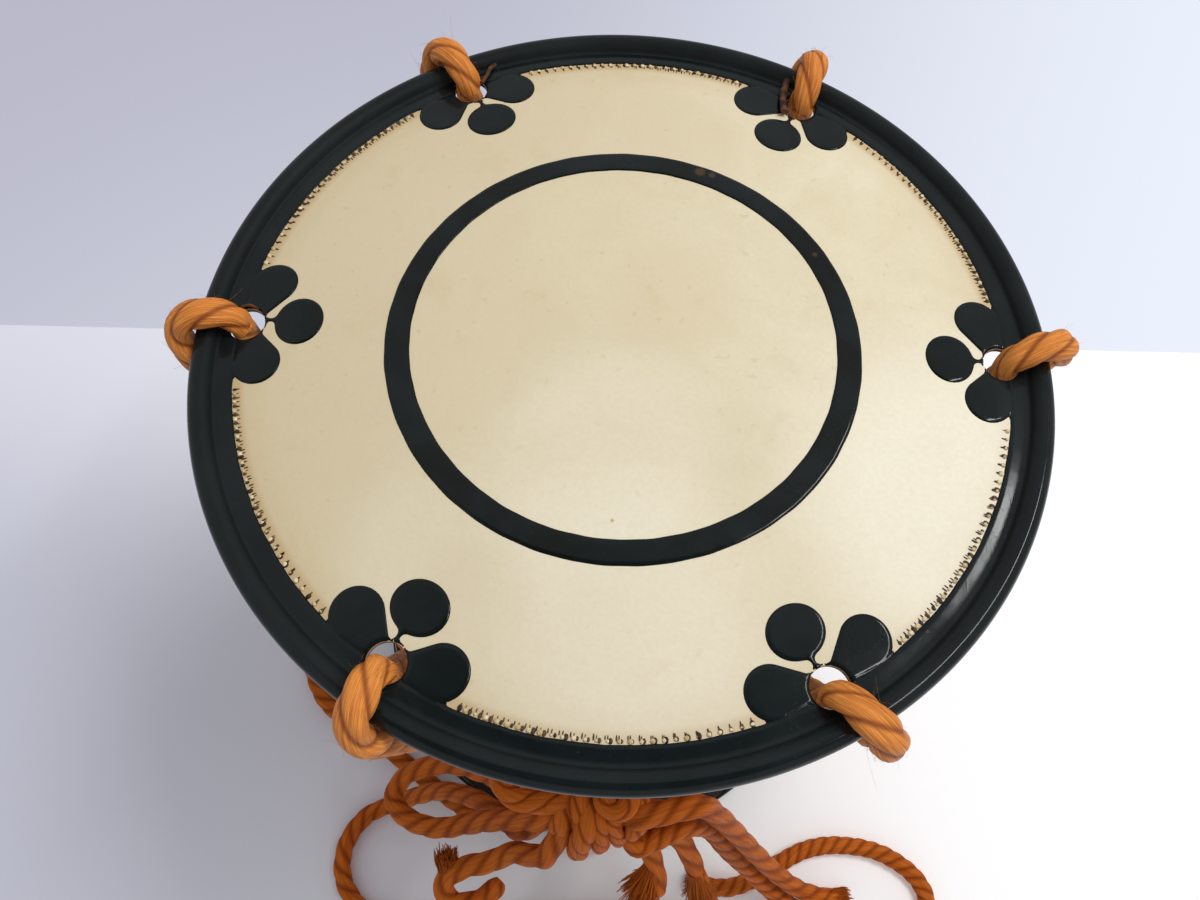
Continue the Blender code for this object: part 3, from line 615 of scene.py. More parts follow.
def cut_shape(stops, turns, field, levels):
    """Triangles of the grid of stops and turns where the field, in millimetres, is negative.

    Returns (length along, angle, depth inside the edge in millimetres) for each corner, and the triangles.
    """
    rows, columns = np.meshgrid(stops, turns, indexing="ij")
    values = field(rows, columns)
    layout = np.stack([rows * 1000 * np.cos(columns), rows * 1000 * np.sin(columns), values], -1)
    corners = np.arange(rows.size).reshape(rows.shape)
    if stops[0] == 0:
        corners[0] = 0
    a, b = corners[:-1], corners[1:]
    c, d = np.roll(b, -1, 1), np.roll(a, -1, 1)
    faces = np.concatenate([np.stack([a, b, c], -1).reshape(-1, 3), np.stack([a, c, d], -1).reshape(-1, 3)])
    faces = faces[(faces[:, 0] != faces[:, 1]) & (faces[:, 1] != faces[:, 2]) & (faces[:, 0] != faces[:, 2])]
    used = np.unique(faces)
    number = np.zeros(rows.size, int)
    number[used] = np.arange(len(used))
    mesh = bpy.data.meshes.new("layout")
    mesh.from_pydata(layout.reshape(-1, 3)[used].tolist(), [], number[faces].tolist())
    shape = bmesh.new()
    shape.from_mesh(mesh)
    bpy.data.meshes.remove(mesh)
    for level in (0.0, *levels):
        bmesh.ops.bisect_plane(
            shape, geom=[*shape.verts, *shape.edges, *shape.faces], dist=0.0001,
            plane_co=(0, 0, -level), plane_no=(0, 0, 1), clear_outer=level == 0.0,
        )
    bmesh.ops.triangulate(shape, faces=shape.faces)
    shape.verts.index_update()
    places = np.array([corner.co[:] for corner in shape.verts])
    triangles = np.array([[corner.index for corner in face.verts] for face in shape.faces])
    shape.free()
    return np.hypot(places[:, 0], places[:, 1]) / 1000, np.arctan2(places[:, 1], places[:, 0]), \
        np.maximum(-places[:, 2], 0), triangles


def closed_sheet(name, layout, top, bottom, material, matrix, smooth_angle=None):
    """A sheet with both faces and its edges, on the head's face. top and bottom are lifts in metres."""
    along, turn, inset, triangles = layout
    upper = HEAD_LINE.place(along, turn, top)
    lower = HEAD_LINE.place(along, turn, bottom)
    count = len(along)
    edges = np.concatenate([triangles[:, [0, 1]], triangles[:, [1, 2]], triangles[:, [2, 0]]])
    keys = edges[:, 0] * count + edges[:, 1]
    mates = edges[:, 1] * count + edges[:, 0]
    rim = edges[~np.isin(keys, mates)]
    sides = np.stack([rim[:, 1], rim[:, 0], rim[:, 0] + count, rim[:, 1] + count], 1)
    faces = [*triangles, *(triangles[:, ::-1] + count), *sides]
    places = np.concatenate([upper, lower])
    turned = places @ np.array(matrix.to_3x3()).T + np.array(matrix.translation)
    numbers = {"inset": np.concatenate([inset, inset])}
    return plain_mesh(name, turned, faces, material, smooth_angle, numbers)


def hole_frame(radius, turn):
    """Place in millimetres in the frame of the nearest hole's own line, and that hole's number."""
    number = np.round(turn / HOLE_STEP).astype(int)
    local = turn - number * HOLE_STEP
    return radius * np.cos(local), radius * np.sin(local), number % HOLE_COUNT


def smooth_least(first, second, reach):
    blend = np.maximum(reach - np.abs(first - second), 0) / reach
    return np.minimum(first, second) - blend ** 2 * reach / 4


def drop_field(x, y, root, tip):
    """Signed distance to a drop from a small circle to a larger one, each (x, y, radius)."""
    dx, dy = tip[0] - root[0], tip[1] - root[1]
    length = np.hypot(dx, dy)
    ux, uy = dx / length, dy / length
    px, py = x - root[0], y - root[1]
    across, along = np.abs(px * -uy + py * ux), px * ux + py * uy
    slant = (root[2] - tip[2]) / length
    straight = np.sqrt(1 - slant ** 2)
    side = -slant * across + straight * along
    at_root = np.hypot(across, along) - root[2]
    at_tip = np.hypot(across, along - length) - tip[2]
    wall = straight * across + slant * along - root[2]
    return np.where(side < 0, at_root, np.where(side > straight * length, at_tip, wall))


def border_field(seed, shifts):
    """The field of the lacquered border and its petals, with small differences from group to group."""
    random = np.random.default_rng(seed)
    sizes = random.normal(0, 0.1, (HOLE_COUNT, 2))
    waves = random.uniform(0, math.tau, 4)
    rounds, stems, lefts, rights = (np.array(row) for row in shifts)

    def field(along, turn):
        radius = HEAD_LINE.flat_radius(along) * 1000
        x, y, number = hole_frame(radius, turn)
        centre, across_x, across_y = ROUND_PETAL
        reach = np.hypot((x - centre) / across_x, (y - rounds[number]) / (across_y + sizes[number, 0]))
        start, end, half = STEM
        stem = np.hypot(x - np.clip(x, start, end), y - stems[number]) - half
        found = smooth_least((reach - 1) * across_x, stem, 1.3)
        outline = np.hypot(x - HOLE_CENTRE, y) - OUTLINE_SIZE
        found = smooth_least(found, outline, 0.9)
        for side, row in ((-1, lefts), (1, rights)):
            shift = side * row[number]
            root = (SIDE_PETAL_ROOT[0], SIDE_PETAL_ROOT[1], SIDE_PETAL_ROOT[2])
            tip = (SIDE_PETAL_TIP[0], SIDE_PETAL_TIP[1] + shift, SIDE_PETAL_TIP[2] + sizes[number, 1])
            found = smooth_least(found, drop_field(x, side * y, root, tip), 0.7)
        wobble = 0.05 * np.sin(turn * 37 + waves[0]) + 0.04 * np.sin(turn * 91 + waves[1])
        border = BORDER_EDGE - radius + wobble
        found = smooth_least(found, border, 0.8)
        found = np.maximum(found, HOLE_SIZE - np.hypot(x - HOLE_CENTRE, y))
        end_wobble = 0.25 * np.sin(turn * 11 + waves[2]) + 0.12 * np.sin(turn * 43 + waves[3])
        last = HEAD_LINE.along_arc(LACQUER_ARC_END) * 1000
        return np.maximum(found, along * 1000 - last + end_wobble)

    return field


def ring_field(seed):
    random = np.random.default_rng(seed)
    waves = random.uniform(0, math.tau, 4)

    def field(along, turn):
        wobble = 0.05 * np.sin(turn * 5 + waves[0]) + 0.03 * np.sin(turn * 29 + waves[1])
        half = RING_HALF + 0.05 * np.sin(turn * 3 + waves[2]) + 0.03 * np.sin(turn * 47 + waves[3])
        return np.abs(along * 1000 - RING_MIDDLE - wobble) - half

    return field


def hole_field(along, turn):
    """Positive inside a rope hole, in the skin's upper layer and in the flap under it."""
    x, y, _ = hole_frame(HEAD_LINE.at(along, "radius") * 1000, turn)
    return HOLE_SIZE - np.hypot(x - HOLE_CENTRE, y)


def coat_lift(inset):
    """Height of a lacquer coat's face over the skin, rounded down to its edge."""
    share = 1 - np.clip(inset / COAT_EDGE, 0, 1)
    return (-0.03 + (COAT + 0.03) * np.sqrt(1 - share ** 2)) / 1000


def spotted(look, place, colour, spots, stain):
    """Soft stains: (x, y, radius, strength) each, on the upper head."""
    for x, y, radius, strength in spots:
        away = look.length(look.vector("SUBTRACT", place, (x, y, UPPER_PLANE)))
        colour = look.mix(look.eased(away, radius * 0.4, radius, strength, 0.0), colour, stain)
    return colour


def skin_finish(settings):
    look = Finish("rawhide", Roughness=0.5)
    look.shader.inputs["Specular IOR Level"].default_value = 0.3
    look.shader.inputs["Sheen Weight"].default_value = 0.04
    place = look.place()
    clouds = look.noise(place, 21, 3.0, 0.55, 0.4)
    patches = look.noise(place, 75, 4.0, 0.6, 0.6)
    grain = look.noise(place, 900, 3.0, 0.6)
    specks = look.noise(place, 420, 1.0)
    x, y, z = look.parts(place)
    # Painted light: the skin's colour is paler towards the right, where the window's light and sheen fall, and
    # darker towards the left
    side = look.eased(x, -0.09, 0.09, 0.9, 0.0)
    colour = look.mix(side, settings.light, settings.colour)
    colour = look.mix(look.eased(clouds, 0.36, 0.66, 0.0, 0.5), colour, settings.shade)
    colour = look.mix(look.eased(patches, 0.52, 0.78, 0.0, 0.14), colour, settings.stain)
    colour = look.mix(look.eased(specks, 0.70, 0.78, 0.0, 0.2), colour, settings.stain)
    reach = look.length(look.combined(x, y, 0.0))
    near_seam = look.eased(reach, 0.080, 0.0875, 0.0, 0.15) + look.eased(reach, 0.0868, 0.0888, 0.0, 0.5)
    colour = look.mix(near_seam, colour, settings.stain)
    # Painted sheen at the skin's right edge, and other paler patches
    colour = spotted(look, place, colour, PALE_AND_SHEEN_SPOTS, settings.pale)
    colour = spotted(look, place, colour, SKIN_SPOTS, settings.stain)
    colour = look.mix(look.eased(grain, 0.3, 0.7, 0.0, 0.08), colour, settings.stain)
    # Painted shade: the skin folded back under the rim, inside the drum, is coloured near black for the shade it
    # lies in
    depth = UPPER_PLANE - MIDDLE - look.math("ABSOLUTE", z - MIDDLE)
    fall = look.math("MAXIMUM", reach - MOUTH_RADIUS, 0.0) * (SKIN_FALL / (SEAM_RADIUS - MOUTH_RADIUS))
    colour = look.mix(look.eased(depth - fall, 0.0008, 0.0011), colour, settings.flap)
    height = grain * 0.6 + patches * 1.5
    normal = look.bump(height, 0.0001, settings.grain)
    rough = look.eased(patches, 0.3, 0.7, 0.42, 0.56)
    return look.finish(Base_Color=colour, Roughness=rough, Normal=normal)


def lacquer_finish(settings):
    look = Finish("green_black_lacquer", Coat_Weight=0.0)
    look.shader.inputs["Specular IOR Level"].default_value = 0.28
    place = look.place()
    clouds = look.noise(place, 45, 3.0, 0.6, 0.5)
    dust = look.noise(place, 1700, 2.0, 0.6)
    x, y, _ = look.parts(place)
    border = look.eased(look.length(look.combined(x, y, 0.0)), 0.060, 0.088)
    colour = look.mix(border, settings.colour, settings.light)
    colour = look.mix(look.eased(clouds, 0.35, 0.7, 0.0, 0.8), colour, settings.cloud)
    # Painted shade: each coat darkens towards its rounded edge, standing in for the edge's weaker reflection
    edge = look.attribute("inset")
    colour = look.mix(look.eased(edge, 0.05, 0.5, 0.7, 0.0), colour, (0.002, 0.0024, 0.0022))
    colour = look.mix(look.eased(dust, 0.66, 0.8, 0.0, 0.35), colour, (0.05, 0.055, 0.05))
    colour = spotted(look, place, colour, LACQUER_SPOTS, (0.10, 0.055, 0.02))
    stretched = look.vector("MULTIPLY", place, (900.0, 120.0, 300.0))
    scratch = look.noise(stretched, 1.0, 2.0, 0.6, 0.2)
    reach = look.length(look.combined(x, y, 0.0))
    groove = look.eased(reach, 0.0935, 0.0945, 0.0, 0.45) * look.eased(reach, 0.0962, 0.0970, 1.0, 0.0)
    rough = look.eased(clouds, 0.3, 0.75, settings.gloss, settings.gloss + 0.07) \
        + look.eased(dust, 0.6, 0.75, 0.0, 0.12) + groove
    waves = look.noise(place, 190, 2.0, 0.5)
    height = waves * 1.0 + look.eased(scratch, 0.6, 0.75, 0.0, 0.12)
    normal = look.bump(height, 0.00006, 0.5)
    return look.finish(Base_Color=colour, Roughness=rough, Normal=normal)


# depth and start set how dark and how wide the painted shade in the grooves is; the last argument, when True, picks
# the lit colours, and when False a darker, redder copy painted as in shade
def rope_finish(name, settings, depth=0.75, start=0.62, lit_copy=True):
    """Silky dyed fibre: fine hairs and coarser yarns along the strands, dark in the grooves between them."""
    look = Finish(name, Roughness=0.6)
    look.shader.inputs["Specular IOR Level"].default_value = 0.3 if lit_copy else 0.06
    fibre = look.attribute("fibre", "Vector")
    groove = look.attribute("groove")
    hairs = look.noise(look.vector("MULTIPLY", fibre, (260.0, 5200.0, 5200.0)), 1.0, 2.0, 0.6)
    yarns = look.noise(look.vector("MULTIPLY", fibre, (45.0, 1150.0, 1150.0)), 1.0, 2.0, 0.5)
    place = look.place()
    fading = look.noise(place, 34, 2.0, 0.5)
    # The lit copy's light fibre colour, streaked in by the hairs and the large noise, is partly a painted
    # highlight; the shaded copy swaps in darker, redder colours as painted shade for cords in the heads' shade
    light, middle = (settings.light, settings.middle) if lit_copy else (settings.middle, settings.shade)
    colour = look.mix(look.eased(hairs, 0.32, 0.72), middle, light)
    colour = look.mix(look.eased(yarns, 0.3, 0.62, 0.5, 0.0), colour, settings.dark)
    colour = look.mix(look.eased(fading, 0.35, 0.7, 0.0, 0.35), colour, light)
    # Painted shade in the grooves between the strands
    groove_shade = look.eased(groove, start, 0.99, 0.0, depth)
    colour = look.mix(groove_shade, colour, settings.dark)
    rough = look.eased(hairs, 0.3, 0.7, 0.6, 0.4)
    height = hairs * 0.7 + yarns * 1.6
    normal = look.bump(height, 0.00028, 0.8)
    return look.finish(Base_Color=colour, Roughness=rough, Normal=normal)


def thread_finish():
    look = Finish("stitch_thread", Roughness=0.6)
    place = look.place()
    each = look.noise(place, 620, 1.0)
    colour = look.mix(look.eased(each, 0.35, 0.65), (0.78, 0.66, 0.42), (0.52, 0.36, 0.16))
    twist = look.noise(place, 2600, 2.0)
    return look.finish(Base_Color=colour, Normal=look.bump(twist, 0.0001, 0.6))


def tick_finish():
    look = Finish("stitch_shadow", Roughness=0.4)
    place = look.place()
    each = look.noise(place, 500, 1.0)
    colour = look.mix(look.eased(each, 0.35, 0.65), (0.020, 0.011, 0.005), (0.10, 0.055, 0.022))
    return look.finish(Base_Color=colour, Normal=look.bump(each, 0.0001, 0.3))


def brown_finish():
    look = Finish("dark_brown_thread", Roughness=0.7)
    each = look.noise(look.place(), 300, 2.0)
    colour = look.mix(look.eased(each, 0.35, 0.65), (0.016, 0.008, 0.006), (0.13, 0.045, 0.015))
    return look.finish(Base_Color=colour, Normal=look.bump(each, 0.0002, 0.5))


def wood_finish():
    look = Finish("black_lacquered_wood", Roughness=0.16)
    place = look.place()
    x, y, z = look.parts(place)
    grain = look.noise(look.combined(x * 90.0, y * 90.0, z * 14.0), 1.0, 3.0, 0.6, 0.4)
    colour = look.mix(look.eased(grain, 0.3, 0.75), (0.008, 0.006, 0.005), (0.028, 0.014, 0.009))
    rough = look.eased(grain, 0.3, 0.7, 0.12, 0.24)
    return look.finish(Base_Color=colour, Roughness=rough, Normal=look.bump(grain, 0.0001, 0.25))


def iron_finish():
    look = Finish("dark_iron", Metallic=1.0, Roughness=0.55)
    rust = look.noise(look.place(), 260, 4.0, 0.6)
    colour = look.mix(look.eased(rust, 0.45, 0.7), (0.09, 0.085, 0.08), (0.16, 0.07, 0.035))
    rough = look.eased(rust, 0.3, 0.7, 0.45, 0.8)
    return look.finish(Base_Color=colour, Roughness=rough, Normal=look.bump(rust, 0.0002, 0.5))


def table_finish(settings):
    """A pale table, brighter on the right."""
    look = Finish("pale_table", Roughness=0.6, Emission_Strength=1.0)
    look.shader.inputs["Specular IOR Level"].default_value = 0.2
    x, y, _ = look.parts(look.place())
    mottle = look.noise(look.place(), 9, 2.0)
    # Painted light: the table's colour is paler towards the right, where the light falls, and darker towards the
    # left
    share = look.eased(x + y * 0.25, -0.30, 0.10) + (mottle - 0.5) * 0.05
    colour = look.mix(share, settings.table_shaded_left, settings.table_lit_right)
    # Painted light: the table glows towards the right and near the wall, though it is no lamp
    by_wall = look.eased(y, -0.02, WALL_PLACE, 0.0, 0.85)
    painted_glow = look.mix(look.eased(x + y * 0.25, -0.02, 0.16) + by_wall, (0, 0, 0), settings.table_glow)
    return look.finish(Base_Color=colour, Emission_Color=painted_glow)


def make_skins(settings):
    material = skin_finish(settings)
    stops = stepped([
        (0, 0.002), (0.05, 0.0012), (0.080, 0.0006), (HEAD_LINE.along_arc(-95), 0.0006),
        (HEAD_LINE.length, None),
    ])
    layout = cut_shape(stops, hole_turns(4.5, 0.4, 1.5), hole_field, (0.1, 0.3))
    dip = np.clip(1 - layout[2] / 0.3, 0, 1) ** 2 * 0.00012
    for label, upper in (("upper", True), ("lower", False)):
        mesh = closed_sheet(
            f"{label}_rawhide", layout, -dip, dip - SKIN_THICKNESS, material, head_matrix(upper), 50
        )
        dressed(f"{label}_rawhide", mesh, [f"{label}_skin"])


def make_lacquer(settings):
    material = lacquer_finish(settings)
    last = HEAD_LINE.along_arc(LACQUER_ARC_END - 20)
    border_stops = stepped([(0.068, 0.0006), (0.0945, 0.0004), (last, None)])
    ring_stops = stepped([(0.0485, 0.00035), (0.0562, None)])
    levels = (0.06, 0.2, 0.45, 0.75, 1.0)
    random = np.random.default_rng(11)
    by_hand = (ROUND_SHIFTS, STEM_SHIFTS, LEFT_SHIFTS, RIGHT_SHIFTS)
    others = random.normal(0, 0.5, (4, HOLE_COUNT))
    for label, upper, seed, shifts in (("upper", True, 5, by_hand), ("lower", False, 11, others)):
        matrix = head_matrix(upper)
        border = cut_shape(border_stops, hole_turns(13.5, 0.4, 1.2), border_field(seed, shifts), levels)
        lift = coat_lift(border[2])
        mesh = closed_sheet(f"{label}_border", border, lift, -0.00005 + 0 * lift, material, matrix)
        dressed(f"{label}_lacquer", mesh, [f"{label}_border_and_petals"])
        turns = np.radians(np.arange(0, 360, 1.25))
        ring = cut_shape(ring_stops, turns, ring_field(seed), levels)
        lift = coat_lift(ring[2])
        mesh = closed_sheet(f"{label}_band", ring, lift, -0.00005 + 0 * lift, material, matrix)
        dressed(f"{label}_painted_ring", mesh, [f"{label}_ring"])


def stitch_tree():
    """One small rounded shape after another along a line, each a little different."""
    shaper = Shaper("row_of_stitches", {
        "Pitch": "Float", "Size": "Vector", "Jitter": "Float", "Seed": "Int", "Material": "Material",
    })
    curve = shaper.node("GeometryNodeMeshToCurve", None, {"Mesh": shaper.given("Geometry")})
    points = shaper.node(
        "GeometryNodeCurveToPoints", {"mode": "LENGTH"}, {"Curve": curve, "Length": shaper.given("Pitch")}
    )
    turned = shaper.node(
        "FunctionNodeAlignRotationToVector", {"axis": "X", "pivot_axis": "Z"},
        {"Vector": points.out("Tangent")},
    )
    ball = shaper.node("GeometryNodeMeshUVSphere", None, {"Segments": 8, "Rings": 5, "Radius": 1.0})
    random = shaper.node("FunctionNodeRandomValue", {"data_type": "FLOAT"}, {"Seed": shaper.given("Seed")}, 1)
    random.made.inputs[2].default_value = -1.0
    random.made.inputs[3].default_value = 1.0
    share = random * shaper.given("Jitter") + 1.0
    size = shaper.vector("SCALE", shaper.given("Size"), share)
    made = shaper.node("GeometryNodeInstanceOnPoints", None, {
        "Points": points, "Instance": ball, "Rotation": turned, "Scale": size,
    })
    return shaper.finish(made)


def stitch_lines(radius, offset):
    """A chain of points between each two groups of petals, as one mesh of edges."""
    places, edges = [], []
    pitch = offset * STITCH_PITCH / radius
    for number in range(HOLE_COUNT):
        start = number * HOLE_STEP + STITCH_START + pitch
        end = (number + 1) * HOLE_STEP - STITCH_START
        turns = np.linspace(start, end, 60)
        along = HEAD_LINE.along_top(radius)
        first = len(places)
        places += list(HEAD_LINE.place(np.full(60, along), turns, 0.0001))
        edges += [(first + i, first + i + 1) for i in range(59)]
    return np.array(places), edges


def make_stitches(_):
    tree = stitch_tree()
    thread, dark = thread_finish(), tick_finish()
    kinds = (
        (0.08950, 0.0, (0.00042, 0.00060, 0.00026), dark),
        (0.08890, 0.0, (0.00015, 0.00058, 0.00014), dark),
        (0.08955, 0.5, (0.00052, 0.00050, 0.00036), thread),
        (0.08885, 0.5, (0.00011, 0.00046, 0.00013), dark),
    )
    for label, upper in (("upper", True), ("lower", False)):
        shape = bmesh.new()
        for seed, (radius, offset, size, material) in enumerate(kinds):
            places, edges = stitch_lines(radius, offset)
            mesh = bpy.data.meshes.new("stitch_line")
            mesh.from_pydata(places.tolist(), edges, [])
            source = linked("stitch_line", mesh)
            made = baked(source, tree, {
                "Pitch": STITCH_PITCH, "Size": size, "Jitter": 0.3, "Seed": seed, "Material": material,
            })
            count = len(shape.faces)
            shape.from_mesh(made)
            shape.faces.ensure_lookup_table()
            for face in shape.faces[count:]:
                face.material_index = 0 if material is thread else 1
        shape.transform(head_matrix(upper))
        mesh = bpy.data.meshes.new(f"{label}_stitches")
        shape.to_mesh(mesh)
        shape.free()
        for material in (thread, dark):
            mesh.materials.append(material)
        mesh.shade_smooth()
        nodes = [f"{label}_seam_{number + 1}" for number in range(HOLE_COUNT)]
        dressed(f"{label}_stitches", mesh, nodes)


def make_body(_):
    """The turned wooden body: two cups, a neck between two ridges, and the bore through it."""
    cup = (BODY_LENGTH - NECK_LENGTH) / 2
    shares = np.linspace(1, 0, 40)

    def cup_line(neck, mouth):
        swell = (mouth - neck) / math.sin(CUP_SWEEP)
        return np.stack([neck + swell * np.sin(CUP_SWEEP * shares), NECK_LENGTH / 2 + cup * shares], 1)

    outer = cup_line(NECK_RADIUS, MOUTH_RADIUS)[:-1]
    turns = np.linspace(math.pi / 2, -math.pi / 2, 9)
    ridge = np.stack([
        NECK_RADIUS + RIDGE_HEIGHT * np.cos(turns) ** 0.7,
        NECK_LENGTH / 2 - RIDGE_WIDTH / 2 + RIDGE_WIDTH / 2 * np.sin(turns),
    ], 1)
    half = np.concatenate([outer[:-1], ridge])
    inner = cup_line(BORE_RADIUS, MOUTH_RADIUS - LIP_WIDTH)
    lip = np.array([[MOUTH_RADIUS - LIP_WIDTH + 0.0006, BODY_LENGTH / 2], [MOUTH_RADIUS - 0.0006, BODY_LENGTH / 2]])
    line = np.concatenate([
        half, half[::-1] * (1, -1), lip[::-1] * (1, -1), inner * (1, -1), inner[::-1], lip,
    ])
    keep = np.concatenate([[True], np.linalg.norm(np.diff(line, axis=0), axis=1) > 0.0002])
    line = line[keep]
    sides = 96
    angles = np.arange(sides) * math.tau / sides
    places = np.stack([
        np.outer(line[:, 0], np.cos(angles)), np.outer(line[:, 0], np.sin(angles)),
        np.repeat(line[:, 1:], sides, 1) + MIDDLE,
    ], -1).reshape(-1, 3)
    a = np.arange(len(line) * sides).reshape(len(line), sides)
    b = np.roll(a, -1, 0)
    faces = np.stack([a, np.roll(a, -1, 1), np.roll(b, -1, 1), b], -1).reshape(-1, 4)[:, ::-1]
    mesh = plain_mesh("turned_body", places, faces, wood_finish(), 35)
    dressed("turned_body", mesh, ["body"])


def make_hoops(_):
    material = iron_finish()
    for node in ("upper_hoop", "lower_hoop"):
        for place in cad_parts[node].material_slots:
            place.material = material


class Run:
    """One stretch of rope: points, how thick it is at each, and how far it is pressed wide and which way."""

    def __init__(self, points, shares=None, wide=None, closed=False, phase=0.0, radius=ROPE_RADIUS, lay=0.028):
        self.points = np.asarray(points, float)
        count = len(self.points)
        self.shares = np.ones(count) if shares is None else np.asarray(shares, float)
        self.wide = np.zeros((count, 3)) if wide is None else np.asarray(wide, float)
        self.closed = closed
        self.radius = radius
        steps = np.linalg.norm(np.diff(self.points, axis=0), axis=1)
        twists = np.full(count, 1.0) / lay
        self.turns = phase - math.tau * np.concatenate([[0], np.cumsum(steps * twists[1:])])


def rope_tree():
    """A laid rope of three strands along each chain of edges."""
    shaper = Shaper("laid_rope", {
        "Sides": "Int", "Strand": "Float", "Lumps": "Float", "Seed": "Float", "Table": "Float",
        "Material": "Material",
    })
    curve = shaper.node("GeometryNodeMeshToCurve", None, {"Mesh": shaper.given("Geometry")})
    along = shaper.node("GeometryNodeSplineParameter").out("Length")
    turns = shaper.read("turns")
    curve = shaper.node("GeometryNodeSetCurveTilt", None, {"Curve": curve, "Tilt": turns})
    curve = shaper.store(curve, "along", along)
    position = shaper.node("GeometryNodeInputPosition")
    curve = shaper.store(curve, "centre", position, "FLOAT_VECTOR")
    ring = shaper.node("GeometryNodeCurvePrimitiveCircle", None, {
        "Resolution": shaper.given("Sides"), "Radius": 1.0,
    })
    x, y, _ = shaper.parts(position)
    turn = shaper.math("ARCTAN2", y, x)
    third = math.pi / 3
    local = shaper.math("WRAP", turn, third, -third)
    offset = shaper.given("Strand")
    size = 1.0 - offset
    sine = shaper.math("SINE", local) * offset
    reach = shaper.math("COSINE", local) * offset + shaper.math("SQRT", size * size - sine * sine)
    ring = shaper.store(ring, "spin", turn)
    ring = shaper.store(ring, "groove", shaper.math("ABSOLUTE", local) / third)
    ring = shaper.moved(ring, shaper.vector("SCALE", position, reach))
    made = shaper.node("GeometryNodeCurveToMesh", None, {
        "Curve": curve, "Profile Curve": ring, "Scale": shaper.read("share"), "Fill Caps": True,
    })
    wide = shaper.read("wide", "FLOAT_VECTOR")
    out = shaper.vector("SUBTRACT", position, shaper.read("centre", "FLOAT_VECTOR"))
    amount = shaper.vector("DOT_PRODUCT", out, wide, 1) / (shaper.length(wide) + 0.000001)
    place = shaper.vector("ADD", position, shaper.vector("SCALE", wide, amount))
    made = shaper.moved(made, place)
    seeded = shaper.vector("ADD", position, shaper.combined(shaper.given("Seed"), 0.0, 0.0))
    lump = (shaper.noise(seeded, 150.0, 2.0) - 0.5) * shaper.given("Lumps")
    normal = shaper.node("GeometryNodeInputNormal")
    place = shaper.vector("ADD", position, shaper.vector("SCALE", normal, lump))
    px, py, pz = shaper.parts(place)
    place = shaper.combined(px, py, shaper.math("MAXIMUM", pz, shaper.given("Table")))
    made = shaper.moved(made, place)
    steady = shaper.read("spin") + turns * FIBRE_STRAIGHTNESS
    across = shaper.math("COSINE", steady) * ROPE_RADIUS, shaper.math("SINE", steady) * ROPE_RADIUS
    fibre = shaper.combined(shaper.read("along"), *across)
    made = shaper.store(made, "fibre", fibre, "FLOAT_VECTOR")
    return shaper.finish(made)


def rope_mesh(runs, material, tree, sides=24, strand=0.30, lumps=0.0004, seed=0.0):
    """One mesh of every run, baked from the rope tree."""
    places = np.concatenate([run.points for run in runs])
    edges, first = [], 0
    for run in runs:
        count = len(run.points)
        edges += [(first + i, first + i + 1) for i in range(count - 1)]
        if run.closed:
            edges.append((first + count - 1, first))
        first += count
    mesh = bpy.data.meshes.new("rope_line")
    mesh.from_pydata(places.tolist(), edges, [])
    numbers = {
        "share": np.concatenate([run.shares * run.radius for run in runs]),
        "turns": np.concatenate([run.turns for run in runs]),
    }
    for key, values in numbers.items():
        mesh.attributes.new(key, "FLOAT", "POINT").data.foreach_set("value", values.astype(np.float32))
    wide = np.concatenate([run.wide for run in runs]).astype(np.float32)
    mesh.attributes.new("wide", "FLOAT_VECTOR", "POINT").data.foreach_set("vector", wide.ravel())
    source = linked("rope_line", mesh)
    return baked(source, tree, {
        "Sides": sides, "Strand": strand, "Lumps": lumps, "Seed": seed, "Table": 0.0, "Material": material,
    })


def lacing_route():
    """Rows of place, share and pressing for one run, from a joint in an upper hole to one in a lower hole."""
    half = (UPPER_PLANE - LOWER_PLANE) / 2
    hole_rope = ROPE_RADIUS * HOLE_SHARE
    hole = (HOLE_CENTRE + HOLE_SIZE) / 1000 - GAP - hole_rope
    joint = half + float(skin_top(HOLE_CENTRE / 1000)) - SKIN_THICKNESS - GAP / 2
    rows = []

    def add(place, turn, share, press=0.0):
        rows.append([*place, share, -math.sin(turn) * press, math.cos(turn) * press, 0.0])

    add(polar(hole, 0, joint), 0, HOLE_SHARE, 0.42)
    add(polar(hole, 0, half - HOOP_DEPTH / 4), 0, HOLE_SHARE, 0.42)
    for index, degrees in enumerate(WRAP_ANGLES):
        share = (HOLE_SHARE + BIGHT_SHARE) / 2 if index == 0 else BIGHT_SHARE
        reach = WRAP_CLEARANCE + ROPE_RADIUS * share
        turn = math.radians(degrees)
        lean = BIGHT_LEAN * (index + 0.5) / (len(WRAP_ANGLES) - 0.5)
        radius = HOOP_RADIUS + reach * math.cos(turn)
        add(polar(radius, lean, half - HOOP_DEPTH + reach * math.sin(turn)), lean, share, 0.25)
    rim = np.array(rows[-1][:3])
    upper_knee = polar(WAIST_RADIUS, LACE_STEP / 2, WAIST_HOLD)
    lower_knee = polar(WAIST_RADIUS, LACE_STEP / 2, -WAIST_HOLD)
    approach = polar(hole - 0.0016, LACE_STEP * 0.975, 0.012 - joint)
    for share in (0.25, 0.6):
        add(rim + (upper_knee - rim) * share, 0, 1)
    add(upper_knee, 0, 1)
    add(lower_knee, 0, 1)
    for share in (0.4, 0.8):
        add(lower_knee + (approach - lower_knee) * share, 0, 1)
    add(approach, LACE_STEP, (1 + HOLE_SHARE) / 2, 0.1)
    add(polar(hole, LACE_STEP, 0.004 - joint), LACE_STEP, HOLE_SHARE, 0.42)
    add(polar(hole, LACE_STEP, -joint), LACE_STEP, HOLE_SHARE, 0.42)
    return resampled(rows, 0.001, 0.0016)


